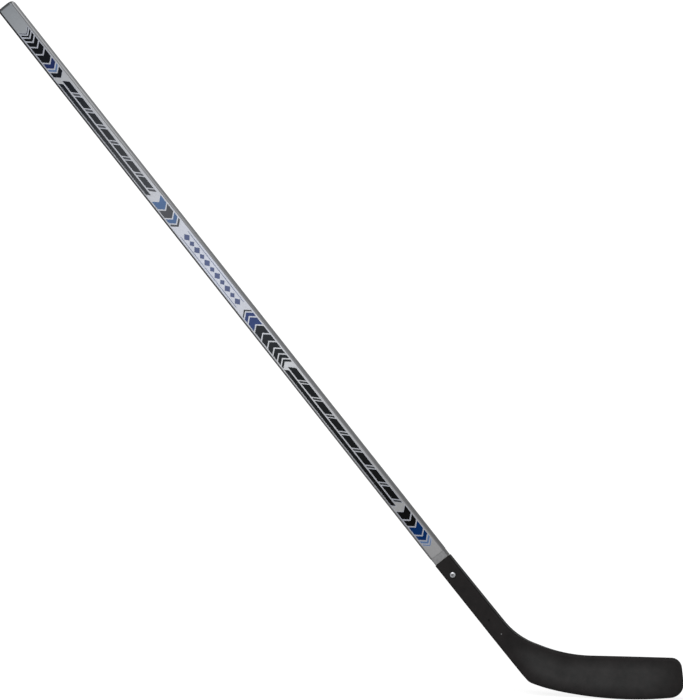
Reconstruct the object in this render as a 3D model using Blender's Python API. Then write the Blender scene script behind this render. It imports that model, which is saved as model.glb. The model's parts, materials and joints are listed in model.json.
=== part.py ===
"""Street hockey stick: a laminated shaft in a printed skin, its tenon screwed into a moulded blade.

The stick stands as it is held in play, blade down. X runs forward to the toe, Z up, and Y from the shown
face to the back. The origin is on the shaft's axis, in the middle of the upper hand's grip.

The pieces of the shaft are modelled along a local X that runs down the shaft, with the local Z across it
towards the toe. An empty turns that to the lie of the stick. The blade is modelled level with the ground,
from an empty at the heel.
"""
import bmesh
import bpy
from math import asin, atan2, ceil, cos, pi, radians, sin, sqrt, tan
from mathutils import Vector

# Lengths are in metres and angles in degrees.

# Glue lines and play between pieces that touch
GAP = 0.0003

# Shaft
LIE_ANGLE = 51.0
SHAFT_LENGTH = 1.1172
SHAFT_WIDTH = 0.028
SHAFT_THICKNESS = 0.020
SHAFT_CORNER = 0.004
BUTT_ROUND = 0.003
BUTT_UPPER_CORNER = 0.008
GRIP_FROM_BUTT = 0.060
SKIN = 0.0004
FIBREGLASS = 0.0008
BIRCH_PLY = 0.0015
CORE_PLIES = 5

# Collar, where the skin stops short of the socket, and tenon
COLLAR_LENGTH = 0.012
SHOULDER = 0.0018
TENON_LENGTH = 0.100
TENON_CORNER = 0.002
SOCKET_END_PLAY = 0.001

# Hosel, the socket end of the blade
HOSEL_LENGTH = 0.2378
HOSEL_SIDE_WALL = 0.0026
HOSEL_FACE_WALL = 0.0025
HOSEL_CORNER = 0.004
HOSEL_LEAN = 0.3
HOSEL_FLARE = 0.0021
HOSEL_RIM_WIDTH = 0.001
MOUTH_ROUND = 0.0008

# Blade outline
BLADE_LENGTH = 0.2486
TOP_EDGE_HEIGHT = 0.0679
TOP_EDGE_SLOPE = 0.36
ROCKER_RADIUS = 0.5778
ROCKER_LOW_FROM_HEEL = 0.1540
HEEL_ROCKER_RADIUS = 0.275
HEEL_ROCKER_LENGTH = 0.0499
HEEL_RADIUS = 0.0279
TOE_LOW_RADIUS = 0.0236
TOE_TOP_RADIUS = 0.0169
TOE_LEAN = 7.3
THROAT_FROM_HEEL = 0.0583
THROAT_SLOPE = 19.55
THROAT_RADIUS_HOSEL = 0.1095
THROAT_RADIUS_BLADE = 0.356

# Blade thickness
BLADE_THICKNESS = 0.0076
TOE_THICKNESS = 0.0066
SOCKET_TO_THINNING = 0.030
THINNING_LENGTH = 0.175
EDGE_RADIUS = 0.0016
EDGE_LARGEST_SHARE = 0.9
RIM_WIDTH = 0.0042
RIM_DROP = 0.0009
CROWN = 0.0004
CROWN_END = 0.030
CURVE_DEPTH = 0.012
CURVE_START = 0.020

# Screw
SCREW_FROM_MOUTH = 0.0281
SCREW_LENGTH = 0.013
THREAD_DIAMETER = 0.0048
THREAD_DEPTH = 0.0007
THREAD_PITCH = 0.0016
TIP_LENGTH = 0.003
TIP_FLAT_SHARE = 0.12
HEAD_DIAMETER = 0.0095
HEAD_HEIGHT = 0.0030
HEAD_SIDE = 0.0009
HEAD_FLAT_SHARE = 0.3
RECESS_SPAN = 0.0046
RECESS_FOOT_SPAN = 0.0020
RECESS_SLOT = 0.0011
RECESS_DEPTH = 0.0018
RECESS_TURN = 20.0

# Facets
CORNER_STEPS = 5
END_STEPS = 4
UPPER_CORNER_STEPS = 3
EDGE_STEPS = 4
HEEL_STEPS = 18
HEEL_ROCKER_STEPS = 20
ROCKER_STEPS = 46
TOE_STEPS = 12
THROAT_STEPS = 20
TOP_STEPS = 12
HOSEL_RIB_SPACING = 0.016
RIBS_ACROSS = 10
TURN_STEPS = 20
HEAD_STEPS = 5
RINGS_PER_THREAD_TURN = 4
LEAST_CORNER_SHARE = 0.1
EDGE_SLACK = 1e-6

# Sizes that follow from those above
STACK_HALF_WIDTH = SHAFT_WIDTH / 2 - SKIN - GAP
STACK_HALF_THICKNESS = SHAFT_THICKNESS / 2 - SKIN - GAP
TENON_HALF_WIDTH = STACK_HALF_WIDTH - SHOULDER
TENON_HALF_THICKNESS = STACK_HALF_THICKNESS - FIBREGLASS - GAP
HOSEL_HALF_WIDTH = TENON_HALF_WIDTH + GAP + HOSEL_SIDE_WALL
HOSEL_HALF_THICKNESS = TENON_HALF_THICKNESS + GAP + HOSEL_FACE_WALL
BUTT = -GRIP_FROM_BUTT
MOUTH = BUTT + SHAFT_LENGTH
SHOULDER_AT = MOUTH - GAP
SKIN_END = MOUTH - COLLAR_LENGTH
THINNING_START = TENON_LENGTH + SOCKET_END_PLAY + SOCKET_TO_THINNING
THINNING_END = THINNING_START + THINNING_LENGTH
BORE_RADIUS = THREAD_DIAMETER / 2 + GAP
BORE_END = -HOSEL_HALF_THICKNESS + SCREW_LENGTH

# Directions in the plane of the stick, as (forward, up)
DOWN_SHAFT = Vector((cos(radians(LIE_ANGLE)), -sin(radians(LIE_ANGLE))))
ACROSS_SHAFT = Vector((sin(radians(LIE_ANGLE)), cos(radians(LIE_ANGLE))))
DOWN = Vector((0.0, -1.0))
DOWN_HOSEL = Vector((cos(radians(LIE_ANGLE - HOSEL_LEAN)), -sin(radians(LIE_ANGLE - HOSEL_LEAN))))
ACROSS_HOSEL = Vector((-DOWN_HOSEL.y, DOWN_HOSEL.x))
ALONG_TOP = Vector((cos(radians(TOP_EDGE_SLOPE)), sin(radians(TOP_EDGE_SLOPE))))
ABOVE_TOP = Vector((-ALONG_TOP.y, ALONG_TOP.x))


def clear_scene():
    for item in list(bpy.data.objects):
        bpy.data.objects.remove(item, do_unlink=True)


def make_material(name, colour, roughness, metallic=0.0):
    material = bpy.data.materials.new(name)
    material.use_nodes = True
    shader = material.node_tree.nodes["Principled BSDF"]
    shader.inputs["Base Color"].default_value = (*colour, 1.0)
    shader.inputs["Roughness"].default_value = roughness
    shader.inputs["Metallic"].default_value = metallic
    material.diffuse_color = (*colour, 1.0)
    return material


def make_object(name, points, faces, parent, material=None, smooth_angle=30):
    """Makes a mesh object in its parent's frame. Without a material it is a cutter or a guide."""
    mesh = bpy.data.meshes.new(name)
    mesh.from_pydata(points, [], faces)
    form = bmesh.new()
    form.from_mesh(mesh)
    bmesh.ops.recalc_face_normals(form, faces=form.faces[:])
    form.to_mesh(mesh)
    form.free()
    mesh.shade_smooth()
    mesh.set_sharp_from_angle(angle=radians(smooth_angle))
    piece = bpy.data.objects.new(name, mesh)
    bpy.context.scene.collection.objects.link(piece)
    piece.parent = parent
    if material:
        mesh.materials.append(material)
    else:
        piece.hide_render = True
        piece.display_type = "WIRE"
    return piece


def make_empty(name, location, turn=0.0):
    empty = bpy.data.objects.new(name, None)
    bpy.context.scene.collection.objects.link(empty)
    empty.location = location
    empty.rotation_euler = (0.0, turn, 0.0)
    return empty


def combine(piece, other, operation):
    step = piece.modifiers.new(f"{operation.lower()}_{other.name}", "BOOLEAN")
    step.operation = operation
    step.solver = "EXACT"
    step.object = other


def loft(rings):
    """Points and faces of the closed body that passes through rings with equal numbers of points."""
    count = len(rings[0])
    points = [point for ring in rings for point in ring]
    faces = [tuple(range(count))[::-1]]
    for row in range(len(rings) - 1):
        for step in range(count):
            after = (step + 1) % count
            low = row * count
            high = low + count
            faces.append((low + step, low + after, high + after, high + step))
    faces.append(tuple(range(len(points) - count, len(points))))
    return points, faces


def rounded_ring(along, half_width, half_thickness, corner, inset=0.0, shift=0.0):
    """A ring across the shaft: a rectangle with round corners, drawn in by inset."""
    radius = max(corner - inset, corner * LEAST_CORNER_SHARE)
    ring = []
    for quarter in range(4):
        side_z = (1, -1, -1, 1)[quarter]
        side_y = (1, 1, -1, -1)[quarter]
        centre_z = side_z * (half_width - inset - radius) + shift
        centre_y = side_y * (half_thickness - inset - radius)
        for step in range(CORNER_STEPS + 1):
            turn = pi / 2 * (quarter + step / CORNER_STEPS)
            ring.append((along, centre_y + radius * sin(turn), centre_z + radius * cos(turn)))
    return ring


def butt_rings(half_width, half_thickness, corner, wall):
    """Rings of the rounded butt end, from the end face to the straight sides, wall inside the skin.

    The end's corner on the upper side has a larger radius than the rest of its edge.
    """
    radius = BUTT_ROUND - wall
    upper_radius = BUTT_UPPER_CORNER - wall
    places = []
    for step in range(END_STEPS + 1):
        turn = pi / 2 * (1 - step / END_STEPS)
        places.append((BUTT_ROUND - radius * sin(turn), radius * (1 - cos(turn))))
    start = asin((BUTT_UPPER_CORNER - BUTT_ROUND) / upper_radius)
    for step in range(1, UPPER_CORNER_STEPS + 1):
        turn = start * (1 - step / UPPER_CORNER_STEPS)
        places.append((BUTT_UPPER_CORNER - upper_radius * sin(turn), 0.0))
    rings = []
    for depth, inset in places:
        before_side = BUTT_UPPER_CORNER - depth
        upper_inset = upper_radius - sqrt(max(upper_radius ** 2 - before_side ** 2, 0.0))
        shift = (inset - upper_inset) / 2
        rings.append(rounded_ring(BUTT + depth, half_width + shift, half_thickness, corner, inset, shift))
    return rings


def make_skin(shaft_frame):
    """The printed film and its lacquer: a cup over the butt end, open at the collar."""
    half_width = SHAFT_WIDTH / 2
    half_thickness = SHAFT_THICKNESS / 2
    inner_corner = SHAFT_CORNER - SKIN
    outside = butt_rings(half_width, half_thickness, SHAFT_CORNER, 0.0)
    outside.append(rounded_ring(SKIN_END, half_width, half_thickness, SHAFT_CORNER))
    inside = butt_rings(half_width - SKIN, half_thickness - SKIN, inner_corner, SKIN)
    inside.append(rounded_ring(SKIN_END, half_width - SKIN, half_thickness - SKIN, inner_corner))
    points, faces = loft(outside + inside[::-1])
    silver = make_material("silver_print", (0.42, 0.43, 0.46), 0.35, 0.3)
    return make_object("printed_skin", points, faces, shaft_frame, silver)


def make_stack_guide(shaft_frame):
    """The outer form that the glued stack of sheets is machined to: butt, shaft, collar and tenon."""
    corner = SHAFT_CORNER - SKIN - GAP
    rings = butt_rings(STACK_HALF_WIDTH, STACK_HALF_THICKNESS, corner, SKIN + GAP)
    rings.append(rounded_ring(SHOULDER_AT, STACK_HALF_WIDTH, STACK_HALF_THICKNESS, corner))
    for along in (SHOULDER_AT, MOUTH + TENON_LENGTH):
        rings.append(rounded_ring(along, TENON_HALF_WIDTH, TENON_HALF_THICKNESS, TENON_CORNER))
    points, faces = loft(rings)
    return make_object("stack_guide", points, faces, shaft_frame)


def make_sheet(name, front, back, material, shaft_frame, stack_guide, bore):
    """One sheet of the stack between two depths, cut to the stack's form and bored for the screw."""
    margin = SHAFT_WIDTH
    ends = (BUTT - margin, MOUTH + TENON_LENGTH + margin)
    corners = ((front, -margin), (front, margin), (back, margin), (back, -margin))
    points, faces = loft([[(along, *corner) for corner in corners] for along in ends])
    sheet = make_object(name, points, faces, shaft_frame, material)
    combine(sheet, stack_guide, "INTERSECT")
    if front < BORE_END:
        combine(sheet, bore, "DIFFERENCE")
    return sheet


def make_sheets(shaft_frame, stack_guide, bore):
    """Fibreglass faces, the birch plies under them and the core plies, from the shown face to the back."""
    glass = make_material("fibreglass", (0.33, 0.34, 0.35), 0.45)
    birch = make_material("birch", (0.72, 0.53, 0.33), 0.6)
    poplar = make_material("poplar", (0.79, 0.66, 0.47), 0.65)
    face_stack = 2 * (FIBREGLASS + BIRCH_PLY + 2 * GAP)
    core_room = 2 * STACK_HALF_THICKNESS - face_stack - (CORE_PLIES - 1) * GAP
    core_ply = core_room / CORE_PLIES
    layers = [("fibreglass_front", FIBREGLASS, glass), ("birch_ply_front", BIRCH_PLY, birch)]
    for number in range(1, CORE_PLIES + 1):
        layers.append((f"core_ply_{number}", core_ply, poplar))
    layers.append(("birch_ply_back", BIRCH_PLY, birch))
    layers.append(("fibreglass_back", FIBREGLASS, glass))
    front = -STACK_HALF_THICKNESS
    for name, thickness, material in layers:
        make_sheet(name, front, front + thickness, material, shaft_frame, stack_guide, bore)
        front += thickness + GAP


def arc(centre, radius, start, end, steps):
    """Points on a circle in the plane of the stick, from one angle to another, ends included."""
    points = []
    for step in range(steps + 1):
        turn = start + (end - start) * step / steps
        points.append(centre + radius * Vector((cos(turn), sin(turn))))
    return points


def angle_of(direction):
    return atan2(direction.y, direction.x)


def meeting_point(point, direction, other_point, other_direction):
    """Where two straight lines cross."""
    share = (other_point - point).cross(other_direction) / direction.cross(other_direction)
    return point + direction * share


def nested_centre(point, direction, inward, radius, big_centre, big_radius):
    """Centre of a circle that touches a line on its inward side and the inside of a larger circle.

    Of the two such circles this is the one further along the line's direction.
    """
    start = point + inward * radius
    offset = start - big_centre
    along = offset.dot(direction)
    reach = big_radius - radius
    return start + direction * (sqrt(along * along - offset.length_squared + reach * reach) - along)


def corner_circle(before, corner, after, radius):
    """Centre and radius of a round corner between straight edges, kept within half of each edge."""
    back = (before - corner).normalized()
    ahead = (after - corner).normalized()
    half_angle = back.angle(ahead) / 2
    room = min((before - corner).length, (after - corner).length) / 2
    radius = min(radius, room * tan(half_angle))
    return corner + (back + ahead).normalized() * (radius / sin(half_angle)), radius


def toe_centres(rocker_centre, throat):
    """Centres of the toe's lower and upper round corners, which its leaning front joins.

    The upper corner also touches the top edge, which rises a little from the throat to the toe.
    """
    low_x = BLADE_LENGTH - TOE_LOW_RADIUS
    reach = ROCKER_RADIUS - TOE_LOW_RADIUS
    low = Vector((low_x, rocker_centre.y - sqrt(reach ** 2 - (low_x - rocker_centre.x) ** 2)))
    front = Vector((cos(radians(TOE_LEAN)), sin(radians(TOE_LEAN))))
    up_front = Vector((-front.y, front.x))
    beside_front = low + front * (TOE_LOW_RADIUS - TOE_TOP_RADIUS)
    below_top = throat - ABOVE_TOP * TOE_TOP_RADIUS
    return low, meeting_point(beside_front, up_front, below_top, ALONG_TOP)


def under_edge(rocker_centre, toe):
    """The lower outline: the mouth, the straight hosel, the heel, the rocker and the toe's lower corner.

    From the heel to its join with the rocker the outline turns a little faster than the rocker does.
    """
    mouth = -DOWN_SHAFT * HOSEL_LENGTH
    before_low = ROCKER_LOW_FROM_HEEL - HEEL_ROCKER_LENGTH
    join = rocker_centre + Vector((-before_low, -sqrt(ROCKER_RADIUS ** 2 - before_low ** 2)))
    heel_rocker = join.lerp(rocker_centre, HEEL_ROCKER_RADIUS / ROCKER_RADIUS)
    heel = nested_centre(mouth, DOWN_HOSEL, ACROSS_HOSEL, HEEL_RADIUS, heel_rocker, HEEL_ROCKER_RADIUS)
    heel_end = angle_of(heel - heel_rocker)
    rocker_start = angle_of(join - rocker_centre)
    toe_start = angle_of(toe - rocker_centre)
    points = [mouth]
    points += arc(heel, HEEL_RADIUS, angle_of(-ACROSS_HOSEL), heel_end, HEEL_STEPS)
    points += arc(heel_rocker, HEEL_ROCKER_RADIUS, heel_end, rocker_start, HEEL_ROCKER_STEPS)[1:]
    points += arc(rocker_centre, ROCKER_RADIUS, rocker_start, toe_start, ROCKER_STEPS)[1:]
    points += arc(toe, TOE_LOW_RADIUS, toe_start, radians(TOE_LEAN), TOE_STEPS)[1:]
    return points


def upper_ribs(throat, toe):
    """Points along the upper outline, each with the direction in which its rib runs down the blade.

    The ribs run straight across the hosel, fan out round the throat and run down the blade, square to its
    top edge at first and plumb from the toe's round corner to that corner's middle.
    """
    mouth = -DOWN_SHAFT * HOSEL_LENGTH + ACROSS_SHAFT * 2 * HOSEL_HALF_WIDTH
    down_hosel = (DOWN_HOSEL * HOSEL_LENGTH + ACROSS_HOSEL * HOSEL_FLARE).normalized()
    slope = radians(THROAT_SLOPE)
    knee = meeting_point(mouth, down_hosel, throat, Vector((cos(slope), -sin(slope))))
    hosel_turn, hosel_radius = corner_circle(mouth, knee, throat, THROAT_RADIUS_HOSEL)
    top_end = toe + ABOVE_TOP * TOE_TOP_RADIUS
    blade_turn, blade_radius = corner_circle(knee, throat, top_end, THROAT_RADIUS_BLADE)
    top_start = blade_turn - ABOVE_TOP * blade_radius
    straight = (hosel_turn - mouth).dot(down_hosel)
    hosel_steps = ceil(straight / HOSEL_RIB_SPACING)
    places = [0.0, MOUTH_ROUND] + [straight * step / hosel_steps for step in range(1, hosel_steps)]
    ribs = [(mouth + down_hosel * place, -ACROSS_SHAFT) for place in places]
    fan_start = angle_of(down_hosel) - pi / 2
    for point in arc(hosel_turn, hosel_radius, fan_start, -pi / 2 - slope, THROAT_STEPS):
        ribs.append((point, (point - hosel_turn).normalized()))
    for point in arc(blade_turn, blade_radius, -pi / 2 - slope, angle_of(-ABOVE_TOP), THROAT_STEPS):
        ribs.append((point, (point - blade_turn).normalized()))
    for step in range(1, TOP_STEPS + 1):
        share = step / TOP_STEPS
        ribs.append((top_start.lerp(top_end, share), -ABOVE_TOP.lerp(-DOWN, share)))
    corner = arc(toe, TOE_TOP_RADIUS, angle_of(ABOVE_TOP), pi / 4, TOE_STEPS // 2)
    return ribs + [(point, DOWN) for point in corner[1:]]


def hit(outline, start, direction):
    """Where a ray first crosses an outline, and the number of the outline's point after it."""
    for number in range(1, len(outline)):
        low = outline[number - 1]
        edge = outline[number] - low
        turn = direction.cross(edge)
        if turn == 0:
            continue
        travel = (low - start).cross(edge) / turn
        share = (low - start).cross(direction) / turn
        if travel > 0 and -EDGE_SLACK <= share <= 1 + EDGE_SLACK:
            return start + direction * travel, number
    raise ValueError("a rib misses the under edge")


def spread(points, count):
    """Evenly spaced points along a line of points, both ends included."""
    lengths = [0.0]
    for before, after in zip(points, points[1:]):
        lengths.append(lengths[-1] + (after - before).length)
    spaced = []
    number = 1
    for step in range(count):
        place = lengths[-1] * step / (count - 1)
        while lengths[number] < place and number < len(points) - 1:
            number += 1
        share = (place - lengths[number - 1]) / (lengths[number] - lengths[number - 1])
        spaced.append(points[number - 1].lerp(points[number], min(share, 1.0)))
    return spaced


def ease(low, high, value):
    """Rises smoothly from 0 at low to 1 at high."""
    share = min(max((value - low) / (high - low), 0.0), 1.0)
    return share * share * (3 - 2 * share)


def mix(first, second, share):
    return first + (second - first) * share


def section_at(travel, length):
    """Half thickness and crown along a rib's middle, and its rim's profile as (inset, half thickness)."""
    thin = ease(THINNING_START, THINNING_END, travel)
    to_toe = min(max((travel - THINNING_END) / (length - THINNING_END), 0.0), 1.0)
    half = mix(HOSEL_HALF_THICKNESS, mix(BLADE_THICKNESS, TOE_THICKNESS, to_toe) / 2, thin)
    crown = CROWN * thin
    rim_half = half - crown - RIM_DROP * thin
    radius = min(mix(HOSEL_CORNER, EDGE_RADIUS, thin), rim_half * EDGE_LARGEST_SHARE)
    profile = []
    for step in range(EDGE_STEPS + 1):
        turn = pi / 2 * step / EDGE_STEPS
        profile.append((radius * (1 - cos(turn)), rim_half - radius * (1 - sin(turn))))
    profile.append((radius + mix(HOSEL_RIM_WIDTH, RIM_WIDTH, thin), half - crown))
    return half, crown, profile


def curve_at(place):
    """How far the blade's middle has curved towards the shown face at a distance forward of the heel."""
    share = max((place - CURVE_START) / (BLADE_LENGTH - CURVE_START), 0.0)
    return -CURVE_DEPTH * share * share


def blade_outline():
    """Points round the blade from the mouth's under edge to its upper edge, and how far down each lies.

    Also gives the number of ribs. The ends of the ribs come first and last, the toe's front between them.
    """
    rocker_rise = sqrt(ROCKER_RADIUS ** 2 - ROCKER_LOW_FROM_HEEL ** 2)
    rocker_centre = Vector((ROCKER_LOW_FROM_HEEL, rocker_rise))
    throat = Vector((THROAT_FROM_HEEL, rocker_rise - ROCKER_RADIUS + TOP_EDGE_HEIGHT))
    toe_low, toe_high = toe_centres(rocker_centre, throat)
    under = under_edge(rocker_centre, toe_low)
    ribs = upper_ribs(throat, toe_high)
    upper = [point for point, direction in ribs]
    hits = [hit(under, point, direction) for point, direction in ribs]
    lower = [point for point, number in hits]
    travel = [0.0]
    for number in range(1, len(ribs)):
        before = (upper[number - 1] + lower[number - 1]) / 2
        after = (upper[number] + lower[number]) / 2
        travel.append(travel[-1] + (after - before).length)
    upper_corner = arc(toe_high, TOE_TOP_RADIUS, radians(TOE_LEAN), pi / 4, TOE_STEPS // 2)
    front = [lower[-1]] + under[hits[-1][1]:] + upper_corner
    front = spread(front, RIBS_ACROSS + 1)[1:-1]
    points = lower + front + upper[::-1]
    places = travel + [travel[-1]] * len(front) + travel[::-1]
    return points, places, len(ribs)


def blade_rings(points, places, rib_count):
    """Rings of (forward, half thickness, up) from the edge in to the face, and the ribs' sections."""
    last = len(points) - 1
    length = max(places)
    sections = [section_at(place, length) for place in places]
    rings = [[] for _ in sections[0][2]]
    for number, point in enumerate(points):
        if number in (0, last):
            inward = ACROSS_SHAFT if number == 0 else -ACROSS_SHAFT
        else:
            chord = points[number + 1] - points[number - 1]
            inward = Vector((-chord.y, chord.x)).normalized()
        at_mouth = MOUTH_ROUND if number in (0, last) else 0.0
        for ring, (inset, half) in zip(rings, sections[number][2]):
            place = point + inward * (inset + at_mouth)
            ring.append((place.x, half - at_mouth, place.y))
    return rings, sections[:rib_count]


def face_points(rings, sections):
    """Points inside the innermost ring, rib by rib, as (forward, half thickness, up)."""
    inner = [Vector(point) for point in rings[-1]]
    last_rib = len(sections) - 1
    toe = inner[last_rib:last_rib + RIBS_ACROSS + 1]
    rows = []
    for rib in range(last_rib):
        low = inner[rib]
        high = inner[-1 - rib]
        gap = ((toe[0] + toe[-1]) / 2 - (low + high) / 2).length
        near = max(1 - gap / CROWN_END, 0.0)
        half, crown, _ = sections[rib]
        at_mouth = MOUTH_ROUND if rib == 0 else 0.0
        row = []
        for step in range(1, RIBS_ACROSS):
            share = step / RIBS_ACROSS
            bulge = toe[step] - toe[0].lerp(toe[-1], share)
            point = low.lerp(high, share) + bulge * near * near
            middle = (1 - (2 * share - 1) ** 2) * (1 - near * near)
            point.y = half - at_mouth - crown * (1 - middle)
            row.append(tuple(point))
        rows.append(row)
    return rows


def blade_side(rings, rows, side):
    """Points of one side of the blade, -1 for the shown one: its rings from the edge in, then its rows."""
    flat = [point for line in rings + rows for point in line]
    return [(x, curve_at(x) + side * half, z) for x, half, z in flat]


def blade_faces(around, ring_count, rib_count):
    """Faces of the blade's two sides, its edge and its mouth, as numbers of the two sides' points."""
    last_rib = rib_count - 1
    inner = ring_count - 1
    side_count = around * ring_count + last_rib * (RIBS_ACROSS - 1)

    def ring_point(side, ring, number):
        return side * side_count + ring * around + number

    def face_point(side, rib, step):
        """The number of a point on a face, on its border with the innermost ring too."""
        if step == 0:
            return ring_point(side, inner, rib)
        if step == RIBS_ACROSS:
            return ring_point(side, inner, around - 1 - rib)
        if rib == last_rib:
            return ring_point(side, inner, last_rib + step)
        return side * side_count + around * ring_count + rib * (RIBS_ACROSS - 1) + step - 1

    def patch(point_at, side, row, step):
        corners = ((row, step), (row, step + 1), (row + 1, step + 1), (row + 1, step))
        return [point_at(side, *corner) for corner in corners]

    faces = []
    mouth = []
    for side in (0, 1):
        for ring in range(inner):
            faces += [patch(ring_point, side, ring, step) for step in range(around - 1)]
        for rib in range(last_rib):
            faces += [patch(face_point, side, rib, step) for step in range(RIBS_ACROSS)]
        across = [ring_point(side, ring, 0) for ring in range(inner)]
        across += [face_point(side, 0, step) for step in range(RIBS_ACROSS + 1)]
        across += [ring_point(side, ring, around - 1) for ring in reversed(range(inner))]
        mouth += across if side == 0 else across[::-1]
    faces.append(mouth)
    for step in range(around - 1):
        edge = ((0, step), (0, step + 1), (1, step + 1), (1, step))
        faces.append([ring_point(side, 0, number) for side, number in edge])
    return faces


def make_blade(ground_frame, socket, bore):
    """The moulded blade: a rounded rim round two curved faces, with a socket cut into its hosel."""
    outline, places, rib_count = blade_outline()
    rings, sections = blade_rings(outline, places, rib_count)
    rows = face_points(rings, sections)
    points = blade_side(rings, rows, -1) + blade_side(rings, rows, 1)
    faces = blade_faces(len(outline), len(rings), rib_count)
    black = make_material("black_abs", (0.030, 0.030, 0.031), 0.45)
    blade = make_object("blade", points, faces, ground_frame, black)
    combine(blade, socket, "DIFFERENCE")
    combine(blade, bore, "DIFFERENCE")
    return blade


def make_socket(shaft_frame):
    """The hollow of the hosel: the tenon's form with play all round and at its end."""
    half_width = TENON_HALF_WIDTH + GAP
    half_thickness = TENON_HALF_THICKNESS + GAP
    corner = TENON_CORNER + GAP
    outside = MOUTH - HOSEL_SIDE_WALL
    floor = MOUTH + TENON_LENGTH + SOCKET_END_PLAY
    rings = [rounded_ring(along, half_width, half_thickness, corner) for along in (outside, floor)]
    points, faces = loft(rings)
    return make_object("socket_cutter", points, faces, shaft_frame)


def round_ring(depth, radius_at):
    """A ring round the screw's axis at a depth, its radius given by the turn."""
    ring = []
    for step in range(TURN_STEPS):
        turn = 2 * pi * step / TURN_STEPS
        radius = radius_at(turn)
        ring.append((radius * cos(turn), depth, radius * sin(turn)))
    return ring


def make_bore(screw_frame):
    """The screw's hole through the hosel's shown wall and into the tenon."""
    rings = [round_ring(depth, lambda turn: BORE_RADIUS) for depth in (-HEAD_HEIGHT, SCREW_LENGTH + GAP)]
    points, faces = loft(rings)
    return make_object("bore_cutter", points, faces, screw_frame)


def thread_radius(depth, turn):
    """The screw's radius at a depth and a turn: a ridge that winds down the shank, and a point."""
    core = THREAD_DIAMETER / 2 - THREAD_DEPTH
    phase = (depth / THREAD_PITCH - turn / (2 * pi)) % 1.0
    ridge = THREAD_DEPTH * (1 - abs(2 * phase - 1))
    to_point = min((SCREW_LENGTH - depth) / TIP_LENGTH, 1.0)
    return (core + ridge) * max(to_point, TIP_FLAT_SHARE)


def make_recess(screw_frame):
    """The cross recess in the screw's head, narrowing towards its foot."""
    rings = []
    top = -HEAD_HEIGHT - GAP
    foot = -HEAD_HEIGHT + RECESS_DEPTH
    for depth, span in ((top, RECESS_SPAN), (foot, RECESS_FOOT_SPAN)):
        long = span / 2
        short = RECESS_SLOT / 2
        ring = []
        for quarter in range(4):
            turn = radians(RECESS_TURN) - pi / 2 * quarter
            for across, along in ((short, short), (long, short), (long, -short)):
                x = across * cos(turn) - along * sin(turn)
                z = across * sin(turn) + along * cos(turn)
                ring.append((x, depth, z))
        rings.append(ring)
    points, faces = loft(rings)
    return make_object("recess_cutter", points, faces, screw_frame)


def make_screw(screw_frame):
    """Pan-head self-tapping screw. Its depth runs into the hosel from the underside of the head."""
    rings = []
    for step in range(HEAD_STEPS + 1):
        turn = pi / 2 * step / HEAD_STEPS
        radius = HEAD_DIAMETER / 2 * mix(HEAD_FLAT_SHARE, 1.0, sin(turn))
        depth = -HEAD_SIDE - (HEAD_HEIGHT - HEAD_SIDE) * cos(turn)
        rings.append(round_ring(depth, lambda turn, radius=radius: radius))
    rings.append(round_ring(0.0, lambda turn: HEAD_DIAMETER / 2))
    ring_count = ceil(SCREW_LENGTH / THREAD_PITCH * RINGS_PER_THREAD_TURN)
    for step in range(ring_count + 1):
        depth = SCREW_LENGTH * step / ring_count
        rings.append(round_ring(depth, lambda turn, depth=depth: thread_radius(depth, turn)))
    points, faces = loft(rings)
    steel = make_material("zinc_steel", (0.62, 0.62, 0.60), 0.3, 1.0)
    screw = make_object("blade_screw", points, faces, screw_frame, steel)
    combine(screw, make_recess(screw_frame), "DIFFERENCE")
    return screw


def build():
    clear_scene()
    heel = DOWN_SHAFT * (MOUTH + HOSEL_LENGTH) - ACROSS_SHAFT * HOSEL_HALF_WIDTH
    shaft_frame = make_empty("shaft_frame", (0.0, 0.0, 0.0), radians(LIE_ANGLE))
    ground_frame = make_empty("ground_frame", (heel.x, 0.0, heel.y))
    screw_frame = make_empty("screw_frame", (MOUTH + SCREW_FROM_MOUTH, -HOSEL_HALF_THICKNESS - GAP, 0.0))
    screw_frame.parent = shaft_frame
    stack_guide = make_stack_guide(shaft_frame)
    socket = make_socket(shaft_frame)
    bore = make_bore(screw_frame)
    make_skin(shaft_frame)
    make_sheets(shaft_frame, stack_guide, bore)
    make_blade(ground_frame, socket, bore)
    make_screw(screw_frame)


build()
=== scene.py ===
"""Looks of the street hockey stick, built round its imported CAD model.

The shaft's skin, the blade and the screw are finer meshes that stand for their CAD nodes. The print, the
collar's paint and the small marks of the moulding are pieces of their own. The sheets inside the shaft
are the CAD nodes, with materials.
"""
import bmesh
import bpy
import json
from math import asin, atan2, ceil, cos, pi, radians, sin, sqrt, tan
from mathutils import Matrix, Vector


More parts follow.
